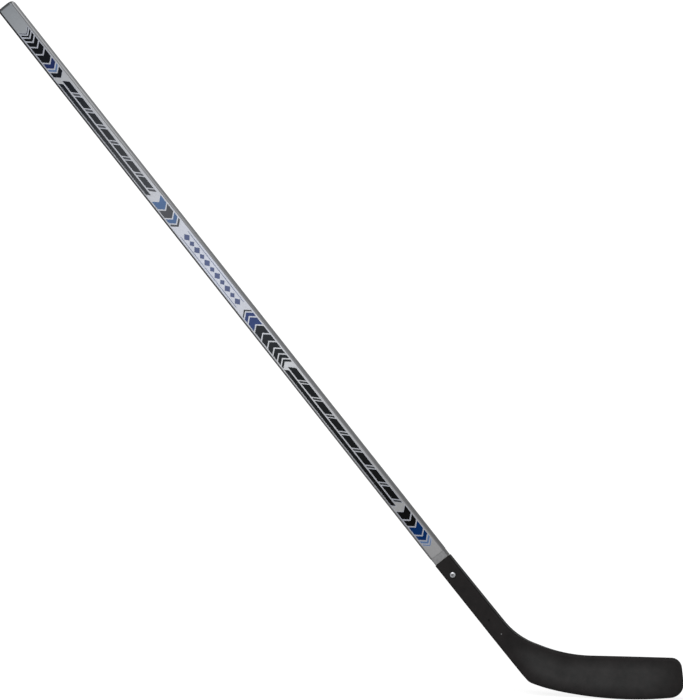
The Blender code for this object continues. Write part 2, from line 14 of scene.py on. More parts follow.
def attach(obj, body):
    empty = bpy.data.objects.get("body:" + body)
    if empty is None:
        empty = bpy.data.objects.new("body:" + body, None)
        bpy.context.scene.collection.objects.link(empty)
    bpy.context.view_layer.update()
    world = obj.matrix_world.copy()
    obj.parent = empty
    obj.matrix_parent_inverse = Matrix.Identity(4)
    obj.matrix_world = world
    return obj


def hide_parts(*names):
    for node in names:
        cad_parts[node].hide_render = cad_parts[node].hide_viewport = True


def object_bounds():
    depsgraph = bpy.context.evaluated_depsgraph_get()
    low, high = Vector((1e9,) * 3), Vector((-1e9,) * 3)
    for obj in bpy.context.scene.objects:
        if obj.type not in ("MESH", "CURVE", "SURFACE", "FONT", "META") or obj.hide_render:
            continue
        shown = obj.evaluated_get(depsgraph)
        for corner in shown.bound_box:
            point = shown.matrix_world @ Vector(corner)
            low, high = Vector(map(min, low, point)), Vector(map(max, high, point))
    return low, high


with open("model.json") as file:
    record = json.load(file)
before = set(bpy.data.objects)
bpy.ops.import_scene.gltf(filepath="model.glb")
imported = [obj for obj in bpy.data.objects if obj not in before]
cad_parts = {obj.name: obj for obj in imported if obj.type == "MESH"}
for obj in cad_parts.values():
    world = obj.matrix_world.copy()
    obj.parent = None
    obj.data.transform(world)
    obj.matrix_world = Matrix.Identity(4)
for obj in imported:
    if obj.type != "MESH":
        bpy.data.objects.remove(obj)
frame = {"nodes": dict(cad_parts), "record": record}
cad_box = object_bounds()

# Lengths are in metres and angles in degrees. Colours are sRGB, from 0 to 255.

# The photograph's frame
PHOTO_WIDTH = 683
PHOTO_HEIGHT = 700
METRES_PER_PIXEL = 0.001581
GRIP_ACROSS_PIXEL = 28.7
GRIP_DOWN_PIXEL = 34.8
CAMERA_AZIMUTH = 8.6
CAMERA_ELEVATION = 6.8
CAMERA_ROLL = -0.219
CAMERA_DISTANCE = 30.0
CAMERA_RANGE = 100.0
SENSOR_WIDTH = 36.0

# Shaft, as in the CAD source
GAP = 0.0003
SHAFT_CORNER = 0.004
BUTT_ROUND = 0.003
BUTT_UPPER_CORNER = 0.008
SKIN = 0.0004
FIBREGLASS = 0.0008
SHOULDER = 0.0018
TENON_LENGTH = 0.100
TENON_CORNER = 0.002
SOCKET_END_PLAY = 0.001

# Blade, as in the CAD source
HOSEL_LENGTH = 0.2378
HOSEL_SIDE_WALL = 0.0026
HOSEL_FACE_WALL = 0.0025
HOSEL_CORNER = 0.004
HOSEL_LEAN = 0.3
HOSEL_FLARE = 0.0021
HOSEL_RIM_WIDTH = 0.001
MOUTH_ROUND = 0.0008
BLADE_LENGTH = 0.2486
TOP_EDGE_HEIGHT = 0.0679
TOP_EDGE_SLOPE = 0.36
ROCKER_RADIUS = 0.5778
ROCKER_LOW_FROM_HEEL = 0.1540
HEEL_ROCKER_RADIUS = 0.275
HEEL_ROCKER_LENGTH = 0.0499
HEEL_RADIUS = 0.0279
TOE_LOW_RADIUS = 0.0236
TOE_TOP_RADIUS = 0.0169
TOE_LEAN = 7.3
THROAT_FROM_HEEL = 0.0583
THROAT_SLOPE = 19.55
THROAT_RADIUS_HOSEL = 0.1095
THROAT_RADIUS_BLADE = 0.356
BLADE_THICKNESS = 0.0076
TOE_THICKNESS = 0.0066
SOCKET_TO_THINNING = 0.030
THINNING_LENGTH = 0.175
EDGE_RADIUS = 0.0016
EDGE_LARGEST_SHARE = 0.9
RIM_WIDTH = 0.0042
RIM_DROP = 0.0009
BEVEL_POWER = 1.5
CROWN = 0.0004
CROWN_END = 0.030
CURVE_DEPTH = 0.012
CURVE_START = 0.020

# Screw, as in the CAD source
SCREW_FROM_MOUTH = 0.0281
SCREW_LENGTH = 0.013
THREAD_DIAMETER = 0.0048
THREAD_DEPTH = 0.0007
THREAD_PITCH = 0.0016
TIP_LENGTH = 0.003
TIP_FLAT_SHARE = 0.12
HEAD_DIAMETER = 0.0095
HEAD_HEIGHT = 0.0030
HEAD_SIDE = 0.0009
HEAD_FLAT_SHARE = 0.3
RECESS_SPAN = 0.0046
RECESS_FOOT_SPAN = 0.0020
RECESS_SLOT = 0.0011
RECESS_DEPTH = 0.0018
RECESS_TURN = 20.0

# Marks of the moulding
PARTING_HEIGHT = 0.00012
PARTING_HALF_WIDTH = 0.00012
GATE_FROM_MOUTH = 0.1493
GATE_ACROSS = 0.0022
GATE_RADIUS = 0.0012
EJECTOR_FROM_MOUTH = 0.120
EJECTOR_RADIUS = 0.0019
EJECTOR_DEPTH = 0.0004

# The gate's torn stub, as (radius, height) in shares of its whole radius
GATE_PROFILE = ((0.25, 0.35), (0.35, 0.33), (0.42, 0.18), (0.75, 0.22), (0.95, 0.12), (1.0, -0.2))

# Film, print and paint
INK_SINK = 0.00005
UNDERCOAT_HEIGHT = 0.00003
INK_HEIGHT = 0.00006
INK_CORNER = 0.0005
KEYLINE = 0.0006
SEAM_START = 0.009
SEAM_WIDTH = 0.005
SEAM_HEIGHT = 0.00008
PAINT = 0.00012
PAINT_INSIDE = 0.00002
PAINT_START = 0.0001

# The film's lap across, as (depth, height) in shares of its half width and its height
SEAM_PROFILE = ((-1, -1), (-1, 0.4), (-0.97, 1), (0.97, 1), (1, 0.4), (1, -1))

# Studio. Each lamp has a name, the azimuth and elevation that it shines from, a strength and a width.
LAMPS = (("key", -14.0, 42.0, 2.6, 50.0), ("fill", 40.0, 15.0, 0.5, 60.0), ("back", 205.0, 40.0, 1.4, 60.0))
SKY_LEVEL = 0.22
FLOOR_GREY = 150
FLOOR_GLOW = 0.75
FLOOR_SPAN = 60.0
WHITE = (1.0, 1.0, 1.0, 1.0)

# Colours of the film's face, as (share of the way from the butt to the collar, sRGB). Its blue-grey tint is
# the film's own; its lightening round the middle and darkening towards both ends is a painted sheen.
FACE_TONE_AND_SHEEN = ((0.0, 124, 128, 132), (0.16, 162, 164, 168), (0.3, 172, 174, 178), (0.47, 192, 196, 208),
               (0.65, 184, 186, 190), (0.86, 146, 147, 148), (1.0, 135, 135, 136))
# Painted shade along the upper corner, a painted highlight along its ridge, painted shade on the upper side
# that deepens towards the collar, and painted shade on the under corner and the under side, as (share,
# sRGB)
UPPER_CORNER_PAINTED_SHADE = ((0.0, 86, 87, 89), (0.12, 100, 101, 103), (0.75, 103, 103, 105), (1.0, 94, 94, 95))
RIDGE_PAINTED_HIGHLIGHT = ((0.2, 158, 159, 161), (0.5, 122, 123, 125), (1.0, 94, 94, 95))
UPPER_SIDE_PAINTED_SHADE = ((0.0, 136, 137, 139), (0.28, 128, 129, 131), (0.6, 112, 113, 115), (0.85, 111, 112, 113),
                (1.0, 96, 96, 97))
UNDER_CORNER_PAINTED_SHADE = ((0.0, 44, 45, 47), (0.25, 71, 72, 74), (1.0, 98, 98, 99))
UNDER_SIDE_PAINTED_SHADE = ((0.0, 100, 101, 103),)

# Painted shade and highlight round the film's corners, as (side, shades, where each starts and is full).
# The places run from 0 at the face's edge to 1 at the narrow side.
PAINTED_CORNER_LIGHT = (
    (1, UPPER_CORNER_PAINTED_SHADE, 0.05, 0.3),
    (1, RIDGE_PAINTED_HIGHLIGHT, 0.45, 0.62),
    (1, UPPER_SIDE_PAINTED_SHADE, 0.92, 0.99),
    (-1, UNDER_CORNER_PAINTED_SHADE, 0.08, 0.25),
    (-1, UNDER_SIDE_PAINTED_SHADE, 0.85, 0.98),
)

# Painted shade on the film's round edge at the butt: how dark it is, and how far from the end it reaches
BUTT_PAINTED_SHADE = 0.2
BUTT_PAINTED_SHADE_END = 0.0048

# Colours of the inks from the butt to the collar. An ink with several stops carries the film's painted
# sheen, lighter round the middle and darker towards the ends.
UNDERCOAT_TONE_AND_SHEEN = ((0.1, 178, 182, 194), (0.36, 192, 195, 201), (0.5, 200, 206, 218), (0.65, 196, 198, 201),
             (0.93, 164, 168, 180))
INK_TONES_AND_SHEEN = {
    "black": ((0.04, 10, 11, 12), (0.14, 24, 27, 33), (0.3, 66, 68, 71), (0.4, 70, 73, 79),
              (0.68, 31, 33, 35), (0.92, 7, 7, 7)),
    "graphite": ((0.35, 86, 88, 93), (0.7, 60, 62, 64)),
    "navy": ((0.0, 34, 45, 88),),
    "steel": ((0.0, 88, 112, 150),),
    "royal": ((0.55, 62, 75, 118), (0.9, 6, 40, 88)),
    "slate": ((0.0, 93, 102, 135),),
}

# Dark and light tones of the other materials, in sRGB
# The blade's rim colour: painted shade where its surface turns away from the faces
RIM_PAINTED_SHADE_BLACK = ((10, 10, 10), (15, 15, 15))
PLAIN_BLACK = ((29, 28, 28), (35, 33, 33))
# A painted sheen on the blade's open faces
PAINTED_SHEEN_BLACK = ((46, 46, 46), (52, 51, 51))
# The gate stub's pale grey is a painted highlight
GATE_HIGHLIGHT_GREY = ((60, 60, 61), (120, 120, 121))
COLLAR_GREY = ((118, 118, 120), (138, 138, 139))
# Painted shade along the collar's upper corner
COLLAR_CORNER_PAINTED_SHADE = ((66, 66, 67), (80, 80, 80))
ZINC = ((128, 130, 134), (156, 157, 159))
GLASS = ((140, 146, 136), (176, 182, 170))
BIRCH = ((176, 134, 88), (216, 180, 132))
POPLAR = ((190, 160, 116), (222, 200, 160))

# Sizes of the blots, strokes and pores of the materials
FLAKE = 0.0008
FILM_CLOUD = 0.02
STREAK = 0.0012
WEAVE_PITCH = 0.0016
INK_GRAIN = 0.0007
INK_CLOUD = 0.03
BRUSH_STROKE = 0.0009
PAINT_WEAR = 0.004
PLASTIC_GRAIN = 0.0006
PLASTIC_MOTTLE = 0.012
PLASTIC_FLOW = 0.03
SCUFF_SPACING = 0.00625
TEAR = 0.0004
ZINC_CLOUD = 0.0015
ZINC_SCRATCH = 0.0006
ZINC_PIT = 0.0003
GLASS_STRAND = 0.025
RESIN_POOL = 0.006
GROWTH_BAND = 0.004
WOOD_PORE = 0.0005
VENEER_CLOUD = 0.05

# How many times longer than wide the textures along the shaft are drawn
CLOUD_STRETCH = 6.0
STREAK_STRETCH = 40.0
BRUSH_STRETCH = 0.25
WOOD_STRETCH = 30.0

# The range that most of a noise lies in
NOISE_LOW = 0.3
NOISE_HIGH = 0.7

# Where the painted sheen lies on the blade's faces, as the places where it starts and is full: from the
# mouth, across the shaft's line, in from the blade's edges and back from its toe
SHEEN_FROM_MOUTH = (0.166, 0.210)
SHEEN_ACROSS = (-0.004, 0.013)
SHEEN_FROM_EDGE = (0.004, 0.022)
SHEEN_FROM_TOE = (0.008, 0.055)

# Where painted shades start and are full: on the blade's rim by the way it faces, across the collar's upper
# corner and down in the screw's recess
RIM_SHADE_FACING = (0.4, 0.95)
COLLAR_CORNER_SHADE_SPAN = (0.0108, 0.0128)
RECESS_SHADE_DEPTH = (0.0002, 0.0007)

# How dark the painted shade in the screw's recess and in the ejector's sunken mark is, and how much of the
# mark's radius is as dark
RECESS_PAINTED_SHADE = 0.42
EJECTOR_PAINTED_SHADE = 0.45
EJECTOR_SHADE_SHARE = 0.8

# The print's layout along the shaft, as distances from the butt, and across it
CHEVRON_POINT = 0.0075
CHEVRON_HALF_HEIGHT = 0.0088
CHEVRON_GAP = 0.0026

# Rows of chevrons: where each row starts, the way it points, and its inks with the width of each chevron
CHEVRON_ROWS = (
    (0.0490, 1, (("black", (0.0018, 0.0034, 0.0056, 0.0084, 0.0118, 0.0150)), ("navy", (0.0090,)),
                 ("steel", (0.0040,)), ("black", (0.0090,)))),
    (0.3880, 1, (("steel", (0.0150,)), ("graphite", (0.0150,)), ("steel", (0.0080,)),
                 ("graphite", (0.0040,)))),
    (0.6120, -1, (("graphite", (0.0030,)), ("royal", (0.0070, 0.0140)),
                  ("black", (0.0150, 0.0130, 0.0110, 0.0090, 0.0070, 0.0045)))),
    (1.0120, 1, (("black", (0.0150, 0.0110)), ("royal", (0.0150, 0.0080)), ("steel", (0.0040, 0.0020)))),
)

# Each stretch of band and dashes: start, end, the dashes' edges across, and the long dashes' share
BAND_STRETCHES = ((0.1500, 0.3740, -0.0016, 0.0070, 0.72), (0.7260, 0.9990, -0.0016, 0.0078, 0.76))
BAND_LOW = -0.0090
BAND_HIGH = -0.0036
DASH_PITCH = 0.034
DASH_GAP = 0.0020
DASH_LEAN = 1.0

# The lozenges between two lines, and the pinstripe along the lower edge
FIELD_STRETCH = (0.4600, 0.6020)
FIELD_LINE = 0.0008
FIELD_LINE_ACROSS = 0.0074
LOZENGES = 11
LOZENGE_HALF_LENGTH = 0.0066
LOZENGE_HALF_HEIGHT = 0.0054
LOZENGE_SMALL_SHARE = 0.78
PINSTRIPE_STRETCH = (0.0500, 1.0750)
PINSTRIPE = 0.0008
PINSTRIPE_CORNER = 0.0002

# Facets
SMOOTH_ANGLE = 30.0
CORNER_STEPS = 12
END_STEPS = 10
UPPER_CORNER_STEPS = 8
SHAFT_RIB_SPACING = 0.02
EDGE_STEPS = 8
BEVEL_STEPS = 5
HEEL_STEPS = 40
HEEL_ROCKER_STEPS = 40
ROCKER_STEPS = 90
TOE_STEPS = 24
THROAT_STEPS = 40
TOP_STEPS = 30
HOSEL_RIB_SPACING = 0.006
MOUTH_STEPS = 4
RIBS_ACROSS = 20
TURN_STEPS = 48
HEAD_STEPS = 12
RINGS_PER_THREAD_TURN = 10
INK_CORNER_STEPS = 4
CORNERS_PER_EDGE = 2.1
LEAST_CORNER_SHARE = 0.1
EDGE_SLACK = 1e-6

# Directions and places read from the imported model
mounts = {mount["name"]: mount for mount in frame["record"]["mounts"]}
BACK = Vector((0.0, 1.0, 0.0))
FORWARD = Vector((1.0, 0.0, 0.0))
DOWN_SHAFT = -Vector(mounts["butt_face"]["axis"])
ACROSS_SHAFT = Vector(mounts["shaft_upper_side"]["axis"])


def reach(node, direction):
    """The lowest and highest place of a CAD node along a direction."""
    places = [point.co.dot(direction) for point in frame["nodes"][node].data.vertices]
    return min(places), max(places)


LIE_ANGLE = atan2(-DOWN_SHAFT.z, DOWN_SHAFT.x)
BUTT, SKIN_END = reach("printed_skin", DOWN_SHAFT)
MOUTH = reach("blade", DOWN_SHAFT)[0]
SHAFT_HALF_WIDTH = reach("printed_skin", ACROSS_SHAFT)[1]
SHAFT_HALF_THICKNESS = reach("printed_skin", BACK)[1]

# Sizes that follow from those above
STACK_HALF_WIDTH = SHAFT_HALF_WIDTH - SKIN - GAP
STACK_HALF_THICKNESS = SHAFT_HALF_THICKNESS - SKIN - GAP
TENON_HALF_WIDTH = STACK_HALF_WIDTH - SHOULDER
TENON_HALF_THICKNESS = STACK_HALF_THICKNESS - FIBREGLASS - GAP
HOSEL_HALF_WIDTH = TENON_HALF_WIDTH + GAP + HOSEL_SIDE_WALL
HOSEL_HALF_THICKNESS = TENON_HALF_THICKNESS + GAP + HOSEL_FACE_WALL
THINNING_START = TENON_LENGTH + SOCKET_END_PLAY + SOCKET_TO_THINNING
THINNING_END = THINNING_START + THINNING_LENGTH
FACE_EDGE = SHAFT_HALF_WIDTH - SHAFT_CORNER

# Directions in the plane of the stick, as (forward, up)
DOWN = Vector((0.0, -1.0))
PLANE_DOWN_SHAFT = Vector((DOWN_SHAFT.x, DOWN_SHAFT.z))
PLANE_ACROSS_SHAFT = Vector((ACROSS_SHAFT.x, ACROSS_SHAFT.z))
HOSEL_ANGLE = LIE_ANGLE - radians(HOSEL_LEAN)
DOWN_HOSEL = Vector((cos(HOSEL_ANGLE), -sin(HOSEL_ANGLE)))
ACROSS_HOSEL = Vector((-DOWN_HOSEL.y, DOWN_HOSEL.x))
ALONG_TOP = Vector((cos(radians(TOP_EDGE_SLOPE)), sin(radians(TOP_EDGE_SLOPE))))
ABOVE_TOP = Vector((-ALONG_TOP.y, ALONG_TOP.x))
HEEL = PLANE_DOWN_SHAFT * (MOUTH + HOSEL_LENGTH) - PLANE_ACROSS_SHAFT * HOSEL_HALF_WIDTH


def linear(*channels):
    """A colour in linear light, with alpha, from sRGB values up to 255. One value stands for a grey."""
    if len(channels) == 1:
        channels = channels * 3
    colour = []
    for channel in channels:
        share = channel / 255
        colour.append(share / 12.92 if share < 0.04045 else ((share + 0.055) / 1.055) ** 2.4)
    return colour + [1.0]


def mix(first, second, share):
    return first + (second - first) * share


def ease(low, high, value):
    """Rises smoothly from 0 at low to 1 at high."""
    share = min(max((value - low) / (high - low), 0.0), 1.0)
    return share * share * (3 - 2 * share)


class Nodes:
    """The nodes of a material or of the world, in the making."""

    def __init__(self, tree):
        self.tree = tree

    def add(self, kind, inputs=(), **settings):
        """Adds a node. Inputs are (socket, value or output) pairs."""
        node = self.tree.nodes.new(kind)
        for name, value in settings.items():
            setattr(node, name, value)
        for socket, value in inputs:
            self.feed(node.inputs[socket], value)
        return node

    def feed(self, socket, value):
        if isinstance(value, bpy.types.NodeSocket):
            self.tree.links.new(value, socket)
        else:
            socket.default_value = value

    def maths(self, operation, *values):
        return self.add("ShaderNodeMath", enumerate(values), operation=operation).outputs[0]

    def seen_share(self):
        """1 where the camera, a reflection or a view through glass looks, and 0 for light on things."""
        path = self.add("ShaderNodeLightPath").outputs
        plain = self.maths("MAXIMUM", path["Is Camera Ray"], path["Is Glossy Ray"])
        return self.maths("MAXIMUM", plain, path["Is Transmission Ray"])


class Look(Nodes):
    """A material in the making. It sets the shader's own sockets by their names."""

    def __init__(self, name, **settings):
        self.material = bpy.data.materials.new(name)
        self.material.use_nodes = True
        super().__init__(self.material.node_tree)
        self.shader = self.tree.nodes["Principled BSDF"]
        places = self.add("ShaderNodeTexCoord").outputs
        self.place = places["Object"]
        self.normal = places["Normal"]
        for socket, value in settings.items():
            self.shader.inputs[socket.replace("_", " ")].default_value = value

    def vector_maths(self, operation, first, second):
        inputs = ((0, first), (1, second))
        return self.add("ShaderNodeVectorMath", inputs, operation=operation).outputs

    def along(self, direction, start=0.0):
        """How far each place lies along a direction, from a start."""
        distance = self.vector_maths("DOT_PRODUCT", self.place, direction)["Value"]
        return self.maths("SUBTRACT", distance, start)

    def facing(self, direction):
        """1 where the surface faces along a direction or against it, and 0 where it is square to that."""
        return self.maths("ABSOLUTE", self.vector_maths("DOT_PRODUCT", self.normal, direction)["Value"])

    def from_line(self, x, z):
        """How far each place lies from a line that runs from front to back."""
        flat = self.vector_maths("MULTIPLY", self.place, (1.0, 0.0, 1.0))["Vector"]
        return self.vector_maths("DISTANCE", flat, (x, 0.0, z))["Value"]

    def shaft_share(self):
        """How far each place lies along the film, as a share of its length from the butt."""
        return self.maths("DIVIDE", self.along(DOWN_SHAFT, BUTT), SKIN_END - BUTT)

    def shaft_place(self, stretch=1.0):
        """Places in the shaft's own directions, shortened along it so that a texture is drawn out."""
        along = self.maths("DIVIDE", self.along(DOWN_SHAFT), stretch)
        parts = ((0, along), (1, self.along(BACK)), (2, self.along(ACROSS_SHAFT)))
        return self.add("ShaderNodeCombineXYZ", parts).outputs[0]

    def noise(self, size, detail=2.0, place=None):
        """Soft noise from 0 to 1 with blots about as large as size."""
        inputs = (("Vector", place or self.place), ("Scale", 1 / size), ("Detail", detail))
        return self.add("ShaderNodeTexNoise", inputs).outputs["Fac"]

    def streaks(self):
        """The lacquer's fine streaks along the shaft."""
        return self.noise(STREAK, 2.0, self.shaft_place(STREAK_STRETCH))

    def spread(self, value, low, high, first=NOISE_LOW, last=NOISE_HIGH):
        """Turns a value from first to last into one from low to high, held at both ends."""
        inputs = ((0, value), (1, first), (2, last), (3, low), (4, high))
        return self.add("ShaderNodeMapRange", inputs, clamp=True).outputs[0]

    def ramp(self, value, stops):
        """A colour for each value from 0 to 1, from (place, sRGB) stops."""
        node = self.add("ShaderNodeValToRGB", ((0, value),))
        band = node.color_ramp.elements
        places = [(place, linear(*colour)) for place, *colour in stops]
        band[0].position, band[0].color = places[0]
        band[1].position, band[1].color = places[-1]
        for place, colour in places[1:-1]:
            band.new(place).color = colour
        return node.outputs[0]

    def tones(self, value, dark, light):
        """A colour from dark to light, from a noise."""
        return self.ramp(value, ((NOISE_LOW, *dark), (NOISE_HIGH, *light)))

    def blend(self, share, first, second, kind="MIX"):
        inputs = ((0, share), (6, first), (7, second))
        return self.add("ShaderNodeMix", inputs, data_type="RGBA", blend_type=kind).outputs[2]

    def shade(self, colour, *shares):
        """A colour made lighter or darker by shares round 1."""
        for share in shares:
            grey = self.add("ShaderNodeCombineColor", ((0, share), (1, share), (2, share))).outputs[0]
            colour = self.blend(1.0, colour, grey, "MULTIPLY")
        return colour

    def bump(self, height, depth, before=None):
        """A bump of a real depth in metres, laid over the one before it."""
        inputs = [("Height", height), ("Distance", depth)]
        if before:
            inputs.append(("Normal", before))
        return self.add("ShaderNodeBump", inputs).outputs[0]

    def finish(self, colour, roughness, normal):
        for socket, value in (("Base Color", colour), ("Roughness", roughness), ("Normal", normal)):
            self.feed(self.shader.inputs[socket], value)
        return self.material


def inside_box(point):
    """A point kept inside the CAD model's box, which finer facets pass by thousandths of a millimetre."""
    low, high = cad_box
    return Vector([min(max(value, least), most) for value, least, most in zip(point, low, high)])


def add_item(name, data):
    item = bpy.data.objects.new(name, data)
    bpy.context.scene.collection.objects.link(item)
    return item


def make_mesh(name, points, faces):
    mesh = bpy.data.meshes.new(name)
    mesh.from_pydata([inside_box(point) for point in points], [], faces)
    form = bmesh.new()
    form.from_mesh(mesh)
    bmesh.ops.recalc_face_normals(form, faces=form.faces[:])
    form.to_mesh(mesh)
    form.free()
    mesh.shade_smooth()
    mesh.set_sharp_from_angle(angle=radians(SMOOTH_ANGLE))
    return add_item(name, mesh)


def make_piece(name, points, faces, material):
    """A visible piece. Its larger faces hold the shading of the round corners beside them."""
    piece = make_mesh(name, points, faces)
    piece.data.materials.append(material)
    normals = piece.modifiers.new("normals", "WEIGHTED_NORMAL")
    normals.keep_sharp = True
    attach(piece, "root")
    return piece


def cut(piece, cutter):
    """Cuts a form out of a piece and takes the cutter away."""
    step = piece.modifiers.new("cut", "BOOLEAN")
    step.operation = "DIFFERENCE"
    step.solver = "EXACT"
    step.object = cutter
    piece.modifiers.move(len(piece.modifiers) - 1, 0)
    normals = piece.modifiers["normals"]
    normals.show_viewport = False
    depsgraph = bpy.context.evaluated_depsgraph_get()
    made = bpy.data.meshes.new_from_object(piece.evaluated_get(depsgraph))
    piece.modifiers.remove(step)
    normals.show_viewport = True
    made.set_sharp_from_angle(angle=radians(SMOOTH_ANGLE))
    old = piece.data
    name = old.name
    piece.data = made
    bpy.data.meshes.remove(old)
    made.name = name
    bpy.data.objects.remove(cutter)


def loft(rings, closed=False):
    """Points and faces of the body through rings with equal numbers of points.

    An open row of rings gets a cap at each end. A closed one runs on from the last ring to the first.
    """
    count = len(rings[0])
    points = [point for ring in rings for point in ring]
    faces = []
    for row in range(len(rings) if closed else len(rings) - 1):
        low = row * count
        high = (row + 1) % len(rings) * count
        for step in range(count):
            after = (step + 1) % count
            faces.append((low + step, low + after, high + after, high + step))
    if not closed:
        faces.append(tuple(range(count))[::-1])
        faces.append(tuple(range(len(points) - count, len(points))))
    return points, faces


def shaft_point(along, depth, across):
    return DOWN_SHAFT * along + BACK * depth + ACROSS_SHAFT * across


def rounded_ring(along, half_width, half_thickness, corner, inset=0.0, shift=0.0):
    """A ring across the shaft: a rectangle with round corners, drawn in by inset."""
    radius = max(corner - inset, corner * LEAST_CORNER_SHARE)
    ring = []
    for quarter in range(4):
        side_across = (1, -1, -1, 1)[quarter]
        side_depth = (1, 1, -1, -1)[quarter]
        centre_across = side_across * (half_width - inset - radius) + shift
        centre_depth = side_depth * (half_thickness - inset - radius)
        for step in range(CORNER_STEPS + 1):
            turn = pi / 2 * (quarter + step / CORNER_STEPS)
            depth = centre_depth + radius * sin(turn)
            ring.append(shaft_point(along, depth, centre_across + radius * cos(turn)))
    return ring


def skin_rings(wall):
    """Rings of the film's outside, or of its inside a wall further in, from the butt end to the collar.

    The end's corner on the upper side has a larger radius than the rest of its edge.
    """
    half_width = SHAFT_HALF_WIDTH - wall
    half_thickness = SHAFT_HALF_THICKNESS - wall
    corner = SHAFT_CORNER - wall
    radius = BUTT_ROUND - wall
    upper_radius = BUTT_UPPER_CORNER - wall
    places = []
    for step in range(END_STEPS + 1):
        turn = pi / 2 * (1 - step / END_STEPS)
        places.append((BUTT_ROUND - radius * sin(turn), radius * (1 - cos(turn))))
    turn_start = asin((BUTT_UPPER_CORNER - BUTT_ROUND) / upper_radius)
    for step in range(1, UPPER_CORNER_STEPS + 1):
        turn = turn_start * (1 - step / UPPER_CORNER_STEPS)
        places.append((BUTT_UPPER_CORNER - upper_radius * sin(turn), 0.0))
    rings = []
    for depth, inset in places:
        before_side = BUTT_UPPER_CORNER - depth
        upper_inset = upper_radius - sqrt(max(upper_radius ** 2 - before_side ** 2, 0.0))
        shift = (inset - upper_inset) / 2
        rings.append(rounded_ring(BUTT + depth, half_width + shift, half_thickness, corner, inset, shift))
    start = BUTT + BUTT_UPPER_CORNER
    count = ceil((SKIN_END - start) / SHAFT_RIB_SPACING)
    for step in range(1, count + 1):
        rings.append(rounded_ring(mix(start, SKIN_END, step / count), half_width, half_thickness, corner))
    return rings


def make_skin():
    points, faces = loft(skin_rings(0.0) + skin_rings(SKIN)[::-1])
    skin = make_piece("shaft_film", points, faces, silver_film())
    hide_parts("printed_skin")


def make_seam():
    """The lap where the film's two edges meet, down the middle of the under side."""
    rings = []
    for along in (BUTT + SEAM_START, SKIN_END):
        ring = []
        for depth, height in SEAM_PROFILE:
            across = -SHAFT_HALF_WIDTH - SEAM_HEIGHT * height
            ring.append(shaft_point(along, SEAM_WIDTH / 2 * depth, across))
        rings.append(ring)
    points, faces = loft(rings)
    make_piece("film_seam", points, faces, silver_film("film_lap"))


def make_collar_paint():
    """Paint on the bare collar between the film's end and the socket, thinner than the film."""
    corner = SHAFT_CORNER - SKIN - GAP
    start = SKIN_END + PAINT_START
    end = MOUTH - GAP
    rings = []
    for along, wall in ((start, PAINT), (end, PAINT), (end, PAINT_INSIDE), (start, PAINT_INSIDE)):
        rings.append(rounded_ring(along, STACK_HALF_WIDTH + wall, STACK_HALF_THICKNESS + wall, corner))
    points, faces = loft(rings, closed=True)
    make_piece("collar_paint", points, faces, collar_grey())


def grown(outline, distance):
    """An outline that runs anticlockwise, moved outwards by a distance."""
    moved = []
    for number, corner in enumerate(outline):
        before = corner - outline[number - 1]
        after = outline[(number + 1) % len(outline)] - corner
        first = Vector((before.y, -before.x)).normalized()
        second = Vector((after.y, -after.x)).normalized()
        moved.append(corner + (first + second) * (distance / (1 + first.dot(second))))
    return moved


def softened(outline, radius):
    """An outline with its corners rounded."""
    soft = []
    for number, corner in enumerate(outline):
        before = outline[number - 1] - corner
        after = outline[(number + 1) % len(outline)] - corner
        room = min(radius, before.length / CORNERS_PER_EDGE, after.length / CORNERS_PER_EDGE)
        first = corner + before.normalized() * room
        last = corner + after.normalized() * room
        for step in range(INK_CORNER_STEPS + 1):
            share = step / INK_CORNER_STEPS
            soft.append(first.lerp(corner, share).lerp(corner.lerp(last, share), share))
    return soft


def slanted_bar(start, end, low, high, lean):
    """A bar along the shaft, from start to end at its lower edge. Its ends lean as it rises."""
    shift = lean * (high - low)
    corners = ((start, low), (end, low), (end + shift, high), (start + shift, high))
    return [Vector(corner) for corner in corners]


def chevron(tip, width, reach_back, half_height):
    """A chevron whose tip lies at a place along the shaft. A negative reach points it at the butt."""
    back = tip - reach_back
    corners = ((back, -half_height), (back + width, -half_height), (tip + width, 0.0),
               (back + width, half_height), (back, half_height), (tip, 0.0))
    return [Vector(corner) for corner in corners]


def lozenge(centre, half_length, half_height):
    corners = ((centre - half_length, 0.0), (centre, -half_height), (centre + half_length, 0.0),
               (centre, half_height))
    return [Vector(corner) for corner in corners]


def make_print(name, outlines, height, material):
    """Ink on both broad faces: a thin slab for each outline of (distance from the butt, across)."""
    points = []
    faces = []
    for outline in outlines:
        for face in (-1, 1):
            rings = []
            for depth in (-INK_SINK, height):
                level = face * (SHAFT_HALF_THICKNESS + depth)
                rings.append([shaft_point(BUTT + place.x, level, -face * place.y) for place in outline])
            more_points, more_faces = loft(rings)
            first = len(points)
            points += more_points
            faces += [tuple(number + first for number in corners) for corners in more_faces]
    make_piece(name, points, faces, material)


